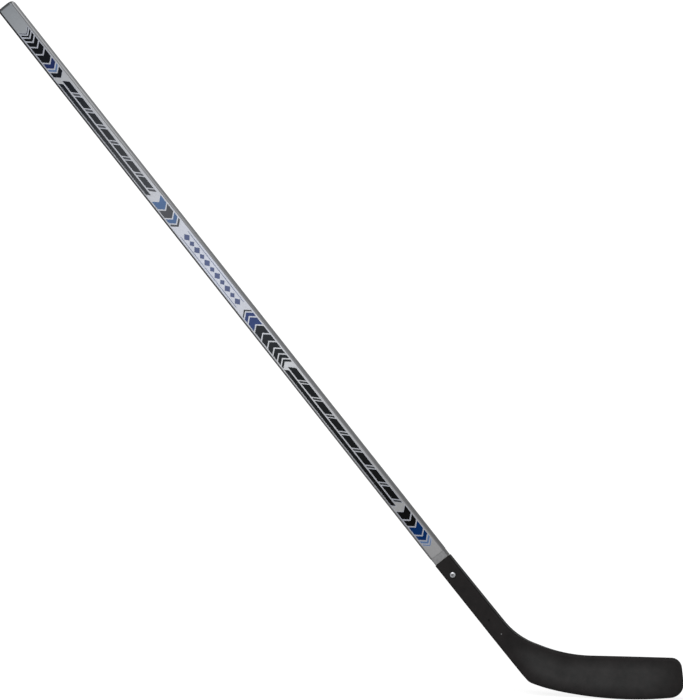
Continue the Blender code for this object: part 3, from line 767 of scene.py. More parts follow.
def print_layout():
    """The outlines of each ink, as a generic pattern of chevrons, bars, dashes and lozenges."""
    inks = {name: [] for name in INK_TONES_AND_SHEEN}
    for start, point, row in CHEVRON_ROWS:
        place = start
        for ink, width in [(ink, width) for ink, widths in row for width in widths]:
            tip = place + CHEVRON_POINT if point > 0 else place
            inks[ink].append(chevron(tip, width, point * CHEVRON_POINT, CHEVRON_HALF_HEIGHT))
            place += width + CHEVRON_GAP
    for start, end, low, high, long_share in BAND_STRETCHES:
        inks["black"].append(slanted_bar(start, end, BAND_LOW, BAND_HIGH, DASH_LEAN))
        count = round((end - start) / DASH_PITCH)
        pitch = (end - start) / count
        for number in range(count):
            place = start + pitch * number
            long_end = place + pitch * long_share
            short_start = long_end + DASH_GAP
            short_end = place + pitch - DASH_GAP
            inks["black"].append(slanted_bar(place, long_end, low, high, DASH_LEAN))
            inks["graphite"].append(slanted_bar(short_start, short_end, low, high, DASH_LEAN))
    start, end = FIELD_STRETCH
    for side in (-1, 1):
        line = side * FIELD_LINE_ACROSS
        inks["slate"].append(slanted_bar(start, end, line - FIELD_LINE / 2, line + FIELD_LINE / 2, 0.0))
    for number in range(LOZENGES):
        centre = mix(start, end, (number + 0.5) / LOZENGES)
        size = 1.0 if number % 2 == 0 else LOZENGE_SMALL_SHARE
        inks["slate"].append(lozenge(centre, LOZENGE_HALF_LENGTH * size, LOZENGE_HALF_HEIGHT * size))
    return inks


def make_prints():
    """The undercoat's keylines and pinstripe first, then the inks a hair above them."""
    inks = print_layout()
    outlines = [outline for ink in inks.values() for outline in ink]
    keylines = [softened(grown(outline, KEYLINE), INK_CORNER + KEYLINE) for outline in outlines]
    start, end = PINSTRIPE_STRETCH
    pinstripe = slanted_bar(start, end, -FACE_EDGE, PINSTRIPE - FACE_EDGE, 0.0)
    keylines.append(softened(pinstripe, PINSTRIPE_CORNER))
    make_print("print_pale", keylines, UNDERCOAT_HEIGHT, ink_look("ink_pale", UNDERCOAT_TONE_AND_SHEEN))
    for ink, outlines in inks.items():
        soft = [softened(outline, INK_CORNER) for outline in outlines]
        make_print(f"print_{ink}", soft, INK_HEIGHT, ink_look(f"ink_{ink}", INK_TONES_AND_SHEEN[ink]))


def arc(centre, radius, start, end, steps):
    """Points on a circle in the plane of the stick, from one angle to another, ends included."""
    points = []
    for step in range(steps + 1):
        turn = start + (end - start) * step / steps
        points.append(centre + radius * Vector((cos(turn), sin(turn))))
    return points


def angle_of(direction):
    return atan2(direction.y, direction.x)


def meeting_point(point, direction, other_point, other_direction):
    """Where two straight lines cross."""
    share = (other_point - point).cross(other_direction) / direction.cross(other_direction)
    return point + direction * share


def nested_centre(point, direction, inward, radius, big_centre, big_radius):
    """Centre of a circle that touches a line on its inward side and the inside of a larger circle.

    Of the two such circles this is the one further along the line's direction.
    """
    start = point + inward * radius
    offset = start - big_centre
    along = offset.dot(direction)
    reach_in = big_radius - radius
    return start + direction * (sqrt(along * along - offset.length_squared + reach_in * reach_in) - along)


def corner_circle(before, corner, after, radius):
    """Centre and radius of a round corner between straight edges, kept within half of each edge."""
    back = (before - corner).normalized()
    ahead = (after - corner).normalized()
    half_angle = back.angle(ahead) / 2
    room = min((before - corner).length, (after - corner).length) / 2
    radius = min(radius, room * tan(half_angle))
    return corner + (back + ahead).normalized() * (radius / sin(half_angle)), radius


def toe_centres(rocker_centre, throat):
    """Centres of the toe's lower and upper round corners, which its leaning front joins.

    The upper corner also touches the top edge, which rises a little from the throat to the toe.
    """
    low_x = BLADE_LENGTH - TOE_LOW_RADIUS
    reach_in = ROCKER_RADIUS - TOE_LOW_RADIUS
    low = Vector((low_x, rocker_centre.y - sqrt(reach_in ** 2 - (low_x - rocker_centre.x) ** 2)))
    front = Vector((cos(radians(TOE_LEAN)), sin(radians(TOE_LEAN))))
    up_front = Vector((-front.y, front.x))
    beside_front = low + front * (TOE_LOW_RADIUS - TOE_TOP_RADIUS)
    below_top = throat - ABOVE_TOP * TOE_TOP_RADIUS
    return low, meeting_point(beside_front, up_front, below_top, ALONG_TOP)


def under_edge(rocker_centre, toe):
    """The lower outline: the mouth, the straight hosel, the heel, the rocker and the toe's lower corner.

    From the heel to its join with the rocker the outline turns a little faster than the rocker does.
    """
    mouth = -PLANE_DOWN_SHAFT * HOSEL_LENGTH
    before_low = ROCKER_LOW_FROM_HEEL - HEEL_ROCKER_LENGTH
    join = rocker_centre + Vector((-before_low, -sqrt(ROCKER_RADIUS ** 2 - before_low ** 2)))
    heel_rocker = join.lerp(rocker_centre, HEEL_ROCKER_RADIUS / ROCKER_RADIUS)
    heel = nested_centre(mouth, DOWN_HOSEL, ACROSS_HOSEL, HEEL_RADIUS, heel_rocker, HEEL_ROCKER_RADIUS)
    heel_end = angle_of(heel - heel_rocker)
    rocker_start = angle_of(join - rocker_centre)
    toe_start = angle_of(toe - rocker_centre)
    points = [mouth]
    points += arc(heel, HEEL_RADIUS, angle_of(-ACROSS_HOSEL), heel_end, HEEL_STEPS)
    points += arc(heel_rocker, HEEL_ROCKER_RADIUS, heel_end, rocker_start, HEEL_ROCKER_STEPS)[1:]
    points += arc(rocker_centre, ROCKER_RADIUS, rocker_start, toe_start, ROCKER_STEPS)[1:]
    points += arc(toe, TOE_LOW_RADIUS, toe_start, radians(TOE_LEAN), TOE_STEPS)[1:]
    return points


def upper_ribs(throat, toe):
    """Points along the upper outline, each with the direction in which its rib runs down the blade.

    The ribs run straight across the hosel, fan out round the throat and run down the blade, square to its
    top edge at first and plumb from the toe's round corner to that corner's middle.
    """
    mouth = -PLANE_DOWN_SHAFT * HOSEL_LENGTH + PLANE_ACROSS_SHAFT * 2 * HOSEL_HALF_WIDTH
    down_hosel = (DOWN_HOSEL * HOSEL_LENGTH + ACROSS_HOSEL * HOSEL_FLARE).normalized()
    slope = radians(THROAT_SLOPE)
    knee = meeting_point(mouth, down_hosel, throat, Vector((cos(slope), -sin(slope))))
    hosel_turn, hosel_radius = corner_circle(mouth, knee, throat, THROAT_RADIUS_HOSEL)
    top_end = toe + ABOVE_TOP * TOE_TOP_RADIUS
    blade_turn, blade_radius = corner_circle(knee, throat, top_end, THROAT_RADIUS_BLADE)
    top_start = blade_turn - ABOVE_TOP * blade_radius
    straight = (hosel_turn - mouth).dot(down_hosel)
    hosel_steps = ceil(straight / HOSEL_RIB_SPACING)
    places = [MOUTH_ROUND * step / MOUTH_STEPS for step in range(MOUTH_STEPS + 1)]
    places += [straight * step / hosel_steps for step in range(1, hosel_steps)]
    ribs = [(mouth + down_hosel * place, -PLANE_ACROSS_SHAFT) for place in places]
    fan_start = angle_of(down_hosel) - pi / 2
    fan_middle = -pi / 2 - slope
    for centre, radius, start, end in ((hosel_turn, hosel_radius, fan_start, fan_middle),
                                       (blade_turn, blade_radius, fan_middle, angle_of(-ABOVE_TOP))):
        for point in arc(centre, radius, start, end, THROAT_STEPS):
            ribs.append((point, (point - centre).normalized()))
    for step in range(1, TOP_STEPS + 1):
        share = step / TOP_STEPS
        ribs.append((top_start.lerp(top_end, share), -ABOVE_TOP.lerp(-DOWN, share)))
    corner = arc(toe, TOE_TOP_RADIUS, angle_of(ABOVE_TOP), pi / 4, TOE_STEPS // 2)
    return ribs + [(point, DOWN) for point in corner[1:]]


def hit(outline, start, direction):
    """Where a ray first crosses an outline, and the number of the outline's point after it."""
    for number in range(1, len(outline)):
        low = outline[number - 1]
        edge = outline[number] - low
        turn = direction.cross(edge)
        if turn == 0:
            continue
        travel = (low - start).cross(edge) / turn
        share = (low - start).cross(direction) / turn
        if travel > 0 and -EDGE_SLACK <= share <= 1 + EDGE_SLACK:
            return start + direction * travel, number
    raise ValueError("a rib misses the under edge")


def spread_evenly(points, count):
    """Evenly spaced points along a line of points, both ends included."""
    lengths = [0.0]
    for before, after in zip(points, points[1:]):
        lengths.append(lengths[-1] + (after - before).length)
    spaced = []
    number = 1
    for step in range(count):
        place = lengths[-1] * step / (count - 1)
        while lengths[number] < place and number < len(points) - 1:
            number += 1
        share = (place - lengths[number - 1]) / (lengths[number] - lengths[number - 1])
        spaced.append(points[number - 1].lerp(points[number], min(share, 1.0)))
    return spaced


def section_at(travel, length):
    """Half thickness and crown along a rib's middle, and its rim's profile as (inset, half thickness).

    The profile starts at the parting line, a fine ridge down the middle of the edge.
    """
    thin = ease(THINNING_START, THINNING_END, travel)
    to_toe = min(max((travel - THINNING_END) / (length - THINNING_END), 0.0), 1.0)
    half = mix(HOSEL_HALF_THICKNESS, mix(BLADE_THICKNESS, TOE_THICKNESS, to_toe) / 2, thin)
    crown = CROWN * thin
    rim_half = half - crown - RIM_DROP * thin
    radius = min(mix(HOSEL_CORNER, EDGE_RADIUS, thin), rim_half * EDGE_LARGEST_SHARE)
    profile = [(0.0, PARTING_HALF_WIDTH / 2), (PARTING_HEIGHT, PARTING_HALF_WIDTH)]
    for step in range(EDGE_STEPS + 1):
        turn = pi / 2 * step / EDGE_STEPS
        inset = PARTING_HEIGHT + (radius - PARTING_HEIGHT) * (1 - cos(turn))
        profile.append((inset, rim_half - radius * (1 - sin(turn))))
    rim = mix(HOSEL_RIM_WIDTH, RIM_WIDTH, thin)
    for step in range(1, BEVEL_STEPS + 1):
        share = step / BEVEL_STEPS
        rise = 1 - (1 - share) ** BEVEL_POWER
        profile.append((radius + rim * share, mix(rim_half, half - crown, rise)))
    return half, crown, profile


def curve_at(place):
    """How far the blade's middle has curved towards the shown face at a distance forward of the heel."""
    share = max((place - CURVE_START) / (BLADE_LENGTH - CURVE_START), 0.0)
    return -CURVE_DEPTH * share * share


def mouth_round(travel):
    """How far the hosel's surface is drawn in near the mouth, by a quarter round."""
    share = max(1 - travel / MOUTH_ROUND, 0.0)
    return MOUTH_ROUND * (1 - sqrt(1 - min(share, 1.0) ** 2))


def blade_corners():
    """The centre of the rocker, and the point where the hosel's slope would meet the top edge."""
    rise = sqrt(ROCKER_RADIUS ** 2 - ROCKER_LOW_FROM_HEEL ** 2)
    throat = Vector((THROAT_FROM_HEEL, rise - ROCKER_RADIUS + TOP_EDGE_HEIGHT))
    return Vector((ROCKER_LOW_FROM_HEEL, rise)), throat


def blade_outline():
    """Points round the blade from the mouth's under edge to its upper edge, and how far down each lies.

    Also gives the number of ribs. The ends of the ribs come first and last, the toe's front between them.
    """
    rocker_centre, throat = blade_corners()
    toe_low, toe_high = toe_centres(rocker_centre, throat)
    under = under_edge(rocker_centre, toe_low)
    ribs = upper_ribs(throat, toe_high)
    upper = [point for point, direction in ribs]
    hits = [hit(under, point, direction) for point, direction in ribs]
    lower = [point for point, number in hits]
    travel = [0.0]
    for number in range(1, len(ribs)):
        before = (upper[number - 1] + lower[number - 1]) / 2
        after = (upper[number] + lower[number]) / 2
        travel.append(travel[-1] + (after - before).length)
    upper_corner = arc(toe_high, TOE_TOP_RADIUS, radians(TOE_LEAN), pi / 4, TOE_STEPS // 2)
    front = [lower[-1]] + under[hits[-1][1]:] + upper_corner
    front = spread_evenly(front, RIBS_ACROSS + 1)[1:-1]
    points = lower + front + upper[::-1]
    places = travel + [travel[-1]] * len(front) + travel[::-1]
    return points, places, len(ribs)


def blade_rings(points, places, rib_count):
    """Rings of (forward, half thickness, up) from the edge in to the face, and the ribs' sections."""
    last = len(points) - 1
    length = max(places)
    sections = [section_at(place, length) for place in places]
    rings = [[] for _ in sections[0][2]]
    for number, point in enumerate(points):
        if number in (0, last):
            inward = PLANE_ACROSS_SHAFT if number == 0 else -PLANE_ACROSS_SHAFT
        else:
            chord = points[number + 1] - points[number - 1]
            inward = Vector((-chord.y, chord.x)).normalized()
        at_mouth = mouth_round(places[number])
        for ring, (inset, half) in zip(rings, sections[number][2]):
            place = point + inward * (inset + at_mouth)
            ring.append((place.x, max(half - at_mouth, PARTING_HALF_WIDTH / 2), place.y))
    return rings, sections[:rib_count]


def face_points(rings, sections, places):
    """Points inside the innermost ring, rib by rib, as (forward, half thickness, up)."""
    inner = [Vector(point) for point in rings[-1]]
    last_rib = len(sections) - 1
    toe = inner[last_rib:last_rib + RIBS_ACROSS + 1]
    rows = []
    for rib in range(last_rib):
        low = inner[rib]
        high = inner[-1 - rib]
        gap = ((toe[0] + toe[-1]) / 2 - (low + high) / 2).length
        near = max(1 - gap / CROWN_END, 0.0)
        half, crown, _ = sections[rib]
        row = []
        for step in range(1, RIBS_ACROSS):
            share = step / RIBS_ACROSS
            bulge = toe[step] - toe[0].lerp(toe[-1], share)
            point = low.lerp(high, share) + bulge * near * near
            middle = (1 - (2 * share - 1) ** 2) * (1 - near * near)
            point.y = half - mouth_round(places[rib]) - crown * (1 - middle)
            row.append(tuple(point))
        rows.append(row)
    return rows


def blade_side(rings, rows, side):
    """Points of one side of the blade, -1 for the shown one: its rings from the edge in, then its rows."""
    flat = [point for line in rings + rows for point in line]
    return [Vector((HEEL.x + x, curve_at(x) + side * half, HEEL.y + z)) for x, half, z in flat]


def blade_faces(around, ring_count, rib_count):
    """Faces of the blade's two sides, its edge and its mouth, as numbers of the two sides' points."""
    last_rib = rib_count - 1
    inner = ring_count - 1
    side_count = around * ring_count + last_rib * (RIBS_ACROSS - 1)

    def ring_point(side, ring, number):
        return side * side_count + ring * around + number

    def face_point(side, rib, step):
        """The number of a point on a face, on its border with the innermost ring too."""
        if step == 0:
            return ring_point(side, inner, rib)
        if step == RIBS_ACROSS:
            return ring_point(side, inner, around - 1 - rib)
        if rib == last_rib:
            return ring_point(side, inner, last_rib + step)
        return side * side_count + around * ring_count + rib * (RIBS_ACROSS - 1) + step - 1

    def patch(point_at, side, row, step):
        corners = ((row, step), (row, step + 1), (row + 1, step + 1), (row + 1, step))
        return [point_at(side, *corner) for corner in corners]

    faces = []
    mouth = []
    for side in (0, 1):
        for ring in range(inner):
            faces += [patch(ring_point, side, ring, step) for step in range(around - 1)]
        for rib in range(last_rib):
            faces += [patch(face_point, side, rib, step) for step in range(RIBS_ACROSS)]
        across = [ring_point(side, ring, 0) for ring in range(inner)]
        across += [face_point(side, 0, step) for step in range(RIBS_ACROSS + 1)]
        across += [ring_point(side, ring, around - 1) for ring in reversed(range(inner))]
        mouth += across if side == 0 else across[::-1]
    faces.append(mouth)
    for step in range(around - 1):
        edge = ((0, step), (0, step + 1), (1, step + 1), (1, step))
        faces.append([ring_point(side, 0, number) for side, number in edge])
    return faces


def make_socket_cutter():
    """The hollow of the hosel: the tenon's form with play all round and at its end."""
    half_width = TENON_HALF_WIDTH + GAP
    half_thickness = TENON_HALF_THICKNESS + GAP
    ends = (MOUTH - HOSEL_SIDE_WALL, MOUTH + TENON_LENGTH + SOCKET_END_PLAY)
    corner = TENON_CORNER + GAP
    points, faces = loft([rounded_ring(along, half_width, half_thickness, corner) for along in ends])
    return make_mesh("socket_cutter", points, faces)


def turned(centre, profile, radius_at=None):
    """Points and faces of a body turned about a line from front to back, from (radius, depth) pairs."""
    rings = []
    for radius, depth in profile:
        ring = []
        for step in range(TURN_STEPS):
            turn = 2 * pi * step / TURN_STEPS
            wide = radius_at(depth, turn) if radius is None else radius
            ring.append(centre + Vector((wide * cos(turn), depth, wide * sin(turn))))
        rings.append(ring)
    return loft(rings)


def make_pin_cutter(name, centre, radius, depths):
    """A plain round pin from front to back."""
    points, faces = turned(centre, [(radius, depth) for depth in depths])
    return make_mesh(name, points, faces)


def make_blade():
    """The moulded blade: a rounded rim round two curved faces, with its socket, bore and ejector mark."""
    outline, places, rib_count = blade_outline()
    rings, sections = blade_rings(outline, places, rib_count)
    rows = face_points(rings, sections, places)
    points = blade_side(rings, rows, -1) + blade_side(rings, rows, 1)
    faces = blade_faces(len(outline), len(rings), rib_count)
    blade = make_piece("blade_moulding", points, faces, black_plastic())
    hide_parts("blade")
    bore = shaft_point(MOUTH + SCREW_FROM_MOUTH, 0.0, 0.0)
    bore_depths = (-HOSEL_HALF_THICKNESS - HEAD_HEIGHT, SCREW_LENGTH - HOSEL_HALF_THICKNESS)
    mark = shaft_point(MOUTH + EJECTOR_FROM_MOUTH, -HOSEL_HALF_THICKNESS, 0.0)
    mark_depths = (-EJECTOR_DEPTH, EJECTOR_DEPTH)
    cut(blade, make_socket_cutter())
    cut(blade, make_pin_cutter("bore_cutter", bore, THREAD_DIAMETER / 2 + GAP, bore_depths))
    cut(blade, make_pin_cutter("mark_cutter", mark, EJECTOR_RADIUS, mark_depths))
    return blade


def make_gate_mark(blade):
    """The stub that is left where the plastic was let into the mould, torn off a little proud."""
    place = shaft_point(MOUTH + GATE_FROM_MOUTH, -HOSEL_HALF_THICKNESS * 2, GATE_ACROSS)
    _, centre, _, _ = blade.ray_cast(place, BACK)
    profile = [(share * GATE_RADIUS, -height * GATE_RADIUS) for share, height in GATE_PROFILE]
    points, faces = turned(centre, profile)
    make_piece("gate_mark", points, faces, gate_stub_highlight())


def thread_radius(depth, turn):
    """The screw's radius at a depth and a turn: a ridge that winds down the shank, and a point."""
    core = THREAD_DIAMETER / 2 - THREAD_DEPTH
    phase = (depth / THREAD_PITCH - turn / (2 * pi)) % 1.0
    ridge = THREAD_DEPTH * (1 - abs(2 * phase - 1))
    to_point = min((SCREW_LENGTH - depth) / TIP_LENGTH, 1.0)
    return (core + ridge) * max(to_point, TIP_FLAT_SHARE)


def make_recess_cutter(centre):
    """The cross recess in the screw's head, narrowing towards its foot."""
    rings = []
    top = -HEAD_HEIGHT - GAP
    foot = -HEAD_HEIGHT + RECESS_DEPTH
    for depth, span in ((top, RECESS_SPAN), (foot, RECESS_FOOT_SPAN)):
        long = span / 2
        short = RECESS_SLOT / 2
        ring = []
        for quarter in range(4):
            turn = radians(RECESS_TURN) - pi / 2 * quarter
            for across, along in ((short, short), (long, short), (long, -short)):
                x = across * cos(turn) - along * sin(turn)
                z = across * sin(turn) + along * cos(turn)
                ring.append(centre + Vector((x, depth, z)))
        rings.append(ring)
    points, faces = loft(rings)
    return make_mesh("recess_cutter", points, faces)


def make_screw():
    """Pan-head self-tapping screw with a cross recess."""
    centre = shaft_point(MOUTH + SCREW_FROM_MOUTH, -HOSEL_HALF_THICKNESS - GAP, 0.0)
    profile = []
    for step in range(HEAD_STEPS + 1):
        turn = pi / 2 * step / HEAD_STEPS
        radius = HEAD_DIAMETER / 2 * mix(HEAD_FLAT_SHARE, 1.0, sin(turn))
        profile.append((radius, -HEAD_SIDE - (HEAD_HEIGHT - HEAD_SIDE) * cos(turn)))
    profile.append((HEAD_DIAMETER / 2, 0.0))
    ring_count = ceil(SCREW_LENGTH / THREAD_PITCH * RINGS_PER_THREAD_TURN)
    profile += [(None, SCREW_LENGTH * step / ring_count) for step in range(ring_count + 1)]
    points, faces = turned(centre, profile, thread_radius)
    screw = make_piece("pan_head_screw", points, faces, zinc_plate())
    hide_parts("blade_screw")
    cut(screw, make_recess_cutter(centre))


def silver_film(name="silver_film"):
    """Silver film under lacquer: painted sheen, shade and highlight, fine flakes and the weave that shows
    through.
    """
    look = Look(name, Metallic=0.7, Specular_IOR_Level=0.1, Specular_Tint=linear(170))
    share = look.shaft_share()
    colour = look.ramp(share, FACE_TONE_AND_SHEEN)
    # The strips round the corners lay painted shade and a painted highlight over the face's colour
    for side, stops, first, last in PAINTED_CORNER_LIGHT:
        past_face = look.along(ACROSS_SHAFT * side, FACE_EDGE)
        painted_light_share = look.spread(past_face, 0.0, 1.0, SHAFT_CORNER * first, SHAFT_CORNER * last)
        colour = look.blend(painted_light_share, colour, look.ramp(share, stops))
    # Painted shade on the round edge at the butt end
    butt = look.spread(look.along(DOWN_SHAFT, BUTT), BUTT_PAINTED_SHADE, 1.0, BUTT_ROUND, BUTT_PAINTED_SHADE_END)
    flakes = look.spread(look.noise(FLAKE, 1.0), 0.95, 1.05)
    clouds = look.spread(look.noise(FILM_CLOUD, 2.0, look.shaft_place(CLOUD_STRETCH)), 0.975, 1.025)
    streaks = look.streaks()
    bands = (("Vector", look.shaft_place()), ("Scale", 1 / WEAVE_PITCH / 20))
    weave = look.add("ShaderNodeTexWave", bands, bands_direction="X").outputs["Fac"]
    normal = look.bump(streaks, 0.00001, look.bump(weave, 0.000006))
    return look.finish(look.shade(colour, butt, flakes, clouds), look.spread(streaks, 0.34, 0.46), normal)


def ink_look(name, stops):
    """Screen-printed ink under the same lacquer: slightly uneven, with the film's fine streaks."""
    look = Look(name, Specular_IOR_Level=0.03)
    coverage = look.spread(look.noise(INK_GRAIN), 0.92, 1.08)
    clouds = look.spread(look.noise(INK_CLOUD), 0.93, 1.07)
    # The ink's stops along the shaft carry a painted sheen
    colour = look.shade(look.ramp(look.shaft_share(), stops), coverage, clouds)
    streaks = look.streaks()
    return look.finish(colour, look.spread(streaks, 0.38, 0.5), look.bump(streaks, 0.000008))


def collar_grey():
    """Matt grey paint, brushed round the collar and a little uneven."""
    look = Look("collar_grey", Specular_IOR_Level=0.25)
    brush = look.noise(BRUSH_STROKE, 3.0, look.shaft_place(BRUSH_STRETCH))
    wear = look.spread(look.noise(PAINT_WEAR, 3.0), 0.9, 1.08)
    # Painted shade along the collar's upper corner
    corner = look.spread(look.along(ACROSS_SHAFT), 0.0, 1.0, *COLLAR_CORNER_SHADE_SPAN)
    colour = look.blend(corner, look.tones(brush, *COLLAR_GREY), look.tones(brush, *COLLAR_CORNER_PAINTED_SHADE))
    return look.finish(look.shade(colour, wear), look.spread(brush, 0.5, 0.68), look.bump(brush, 0.00004))


def blade_sheen_share(look):
    """From 0 on the hosel and the blade's rim to 1 on the open part of its faces, where the painted sheen
    lies.
    """
    rocker_centre, throat = blade_corners()
    slope = radians(THROAT_SLOPE)
    below = []
    for above in (ABOVE_TOP, Vector((sin(slope), cos(slope)))):
        line = look.along(Vector((above.x, 0.0, above.y)))
        below.append(look.maths("SUBTRACT", (HEEL + throat).dot(above), line))
    from_top = look.maths("MAXIMUM", *below)
    from_under = look.maths("SUBTRACT", ROCKER_RADIUS, look.from_line(*(HEEL + rocker_centre)))
    from_toe = look.maths("SUBTRACT", BLADE_LENGTH, look.along(FORWARD, HEEL.x))
    share = look.spread(look.along(DOWN_SHAFT, MOUTH), 0.0, 1.0, *SHEEN_FROM_MOUTH)
    for inset, span in ((look.along(ACROSS_SHAFT), SHEEN_ACROSS), (from_under, SHEEN_FROM_EDGE),
                        (from_top, SHEEN_FROM_EDGE), (from_toe, SHEEN_FROM_TOE)):
        share = look.maths("MULTIPLY", share, look.spread(inset, 0.0, 1.0, *span))
    return share


def black_plastic():
    """Black ABS: fine spark-eroded grain, faint flow marks, a painted sheen on the faces and painted shade
    on the rim.
    """
    look = Look("black_plastic", Specular_IOR_Level=0.05)
    grain = look.noise(PLASTIC_GRAIN, 3.0)
    mottle = look.noise(PLASTIC_MOTTLE, 4.0)
    flow = look.noise(PLASTIC_FLOW, 3.0)
    edge, plain, sheened = (look.tones(mottle, *pair) for pair in (RIM_PAINTED_SHADE_BLACK, PLAIN_BLACK, PAINTED_SHEEN_BLACK))
    # Painted shade on the rim, where the surface turns from the faces
    clear_of_rim_shade = look.spread(look.facing(BACK), 0.0, 1.0, *RIM_SHADE_FACING)
    colour = look.blend(clear_of_rim_shade, edge, look.blend(blade_sheen_share(look), plain, sheened))
    scuffs = look.add("ShaderNodeTexVoronoi", (("Vector", look.place), ("Scale", 1 / SCUFF_SPACING)))
    speck = look.spread(scuffs.outputs["Distance"], 1.25, 1.0, 0.05, 0.16)
    # Painted shade inside the ejector's sunken mark
    mark = shaft_point(MOUTH + EJECTOR_FROM_MOUTH, 0.0, 0.0)
    shaded_radius = EJECTOR_RADIUS * EJECTOR_SHADE_SHARE
    recess_shade_part = look.spread(look.from_line(mark.x, mark.z), EJECTOR_PAINTED_SHADE, 1.0, shaded_radius, EJECTOR_RADIUS)
    colour = look.shade(colour, speck, look.spread(flow, 0.9, 1.1), recess_shade_part)
    uneven = look.maths("ADD", grain, look.maths("MULTIPLY", flow, 0.5))
    normal = look.bump(mottle, 0.00015, look.bump(grain, 0.00006))
    return look.finish(colour, look.spread(uneven, 0.46, 0.64, 0.5, 0.95), normal)


def gate_stub_highlight():
    """Plastic of the gate's torn stub, painted pale grey as a highlight."""
    look = Look("gate_stub_highlight", Specular_IOR_Level=0.3)
    tear = look.noise(TEAR, 3.0)
    return look.finish(look.tones(tear, *GATE_HIGHLIGHT_GREY), look.spread(tear, 0.5, 0.75), look.bump(tear, 0.00012))


def zinc_plate():
    """Bright zinc plating over rolled steel, faintly clouded and scratched, with painted shade in the
    recess.
    """
    look = Look("zinc_plate", Metallic=1.0)
    colour = look.tones(look.noise(ZINC_CLOUD, 3.0), *ZINC)
    middle = shaft_point(MOUTH + SCREW_FROM_MOUTH, 0.0, 0.0)
    # Painted shade down in the recess
    below_crown = look.along(BACK, -HOSEL_HALF_THICKNESS - GAP - HEAD_HEIGHT)
    recess_shade_part = look.spread(below_crown, 0.0, 1.0, *RECESS_SHADE_DEPTH)
    recess = RECESS_SPAN / 2
    inner = look.spread(look.from_line(middle.x, middle.z), 1.0, 0.0, recess, recess + GAP)
    recess_shade = look.spread(look.maths("MULTIPLY", recess_shade_part, inner), 1.0, RECESS_PAINTED_SHADE, 0.0, 1.0)
    roughness = look.spread(look.noise(ZINC_SCRATCH, 3.0), 0.16, 0.32)
    return look.finish(look.shade(colour, recess_shade), roughness, look.bump(look.noise(ZINC_PIT, 3.0), 0.00001))


def glass_fibre():
    """Woven glass in resin, as it shows on a bare edge."""
    look = Look("glass_fibre", Coat_Weight=0.3, Coat_Roughness=0.2)
    bands = (("Vector", look.shaft_place()), ("Scale", 1 / GLASS_STRAND), ("Distortion", 0.6))
    strands = [look.add("ShaderNodeTexWave", bands, bands_direction=way) for way in ("X", "Z")]
    weave = look.maths("MAXIMUM", *(strand.outputs["Fac"] for strand in strands))
    dark, light = GLASS
    colour = look.ramp(weave, ((0.2, *dark), (0.9, *light)))
    resin = look.spread(look.noise(RESIN_POOL, 3.0), 0.9, 1.1)
    return look.finish(look.shade(colour, resin), look.spread(weave, 0.35, 0.55), look.bump(weave, 0.00005))


def wood(name, dark, light):
    """Rotary-cut veneer: long growth bands, fine pores along the grain and a slight change of tone."""
    look = Look(name, Specular_IOR_Level=0.3)
    place = look.shaft_place(WOOD_STRETCH)
    bands = look.noise(GROWTH_BAND, 3.0, place)
    pores = look.noise(WOOD_PORE, 2.0, place)
    pits = look.spread(pores, 0.82, 1.04, 0.35, 0.55)
    clouds = look.spread(look.noise(VENEER_CLOUD), 0.93, 1.07)
    colour = look.shade(look.tones(bands, dark, light), pits, clouds)
    return look.finish(colour, look.spread(pores, 0.55, 0.75), look.bump(pores, 0.00005))


def dress_sheets():
    """Materials for the sheets of the shaft, which stay as the CAD model has them."""
    glass = glass_fibre()
    birch = wood("birch_veneer", *BIRCH)
    poplar = wood("poplar_veneer", *POPLAR)
    for name, node in frame["nodes"].items():
        for start, material in (("fibreglass", glass), ("birch", birch), ("core", poplar)):
            if name.startswith(start):
                for holder in node.material_slots:
                    holder.material = material


def towards(azimuth, elevation):
    """A unit vector from the stick towards an azimuth and an elevation, in degrees."""
    turn = radians(azimuth)
    rise = radians(elevation)
    return Vector((sin(turn) * cos(rise), -cos(turn) * cos(rise), sin(rise)))


def camera_axes():
    """Unit vectors to the picture's right and top, and back to the camera, with the camera's roll."""
    azimuth = radians(CAMERA_AZIMUTH)
    roll = radians(CAMERA_ROLL)
    level = Vector((cos(azimuth), sin(azimuth), 0.0))
    back = towards(CAMERA_AZIMUTH, CAMERA_ELEVATION)
    plumb = back.cross(level)
    return level * cos(roll) - plumb * sin(roll), level * sin(roll) + plumb * cos(roll), back


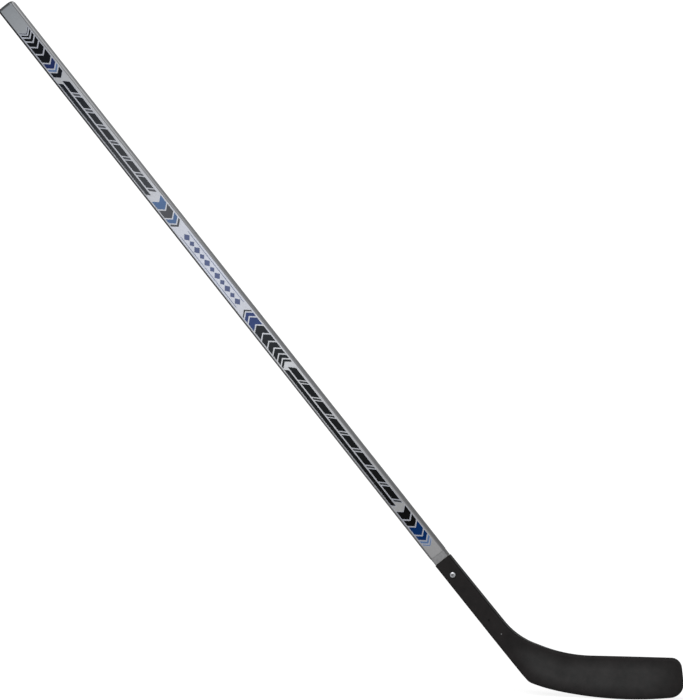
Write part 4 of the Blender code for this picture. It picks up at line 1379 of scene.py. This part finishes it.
def make_camera():
    """A long lens whose picture has the grip where the photograph has it."""
    right, up, back = camera_axes()
    across = (PHOTO_WIDTH / 2 - GRIP_ACROSS_PIXEL) * METRES_PER_PIXEL
    down = (PHOTO_HEIGHT / 2 - GRIP_DOWN_PIXEL) * METRES_PER_PIXEL
    place = right * across - up * down + back * CAMERA_DISTANCE
    data = bpy.data.cameras.new("camera")
    data.sensor_width = SENSOR_WIDTH
    data.lens = SENSOR_WIDTH * CAMERA_DISTANCE / (PHOTO_HEIGHT * METRES_PER_PIXEL)
    data.clip_end = CAMERA_RANGE
    camera = add_item("camera", data)
    camera.matrix_world = Matrix.LocRotScale(place, Matrix((right, up, back)).transposed(), None)
    bpy.context.scene.camera = camera


def make_lamps():
    """Wide soft lamps, each shining from its azimuth and elevation."""
    for name, azimuth, elevation, strength, width in LAMPS:
        data = bpy.data.lights.new(name, "SUN")
        data.energy = strength
        data.angle = radians(width)
        lamp = add_item(name, data)
        lamp.rotation_mode = "QUATERNION"
        lamp.rotation_quaternion = towards(azimuth, elevation).to_track_quat("Z", "Y")


def make_world():
    """White behind everything, and a low even light on everything."""
    world = bpy.data.worlds.new("studio")
    bpy.context.scene.world = world
    world.use_nodes = True
    nodes = Nodes(world.node_tree)
    level = nodes.add("ShaderNodeMix", ((0, nodes.seen_share()), (2, SKY_LEVEL), (3, 1.0))).outputs[0]
    background = world.node_tree.nodes["Background"].inputs
    nodes.feed(background["Color"], WHITE)
    nodes.feed(background["Strength"], level)


def make_floor():
    """A pale floor under the blade, which takes the stick's shadow and has no edge against the white."""
    low = cad_box[0].z
    points = [(x * FLOOR_SPAN, y * FLOOR_SPAN, low) for x, y in ((-1, -1), (1, -1), (1, 1), (-1, 1))]
    mesh = bpy.data.meshes.new("floor")
    mesh.from_pydata(points, [], [(0, 1, 2, 3)])
    floor = add_item("floor", mesh)
    look = Look("pale_floor", Base_Color=linear(FLOOR_GREY), Roughness=0.9, Specular_IOR_Level=0.0,
                Emission_Color=WHITE)
    glow = look.maths("MULTIPLY", look.seen_share(), FLOOR_GLOW)
    look.feed(look.shader.inputs["Emission Strength"], glow)
    mesh.materials.append(look.material)


make_camera()
make_lamps()
make_world()
make_floor()
make_skin()
make_seam()
make_collar_paint()
make_prints()
make_gate_mark(make_blade())
make_screw()
dress_sheets()
bpy.context.scene.view_settings.view_transform = "Standard"
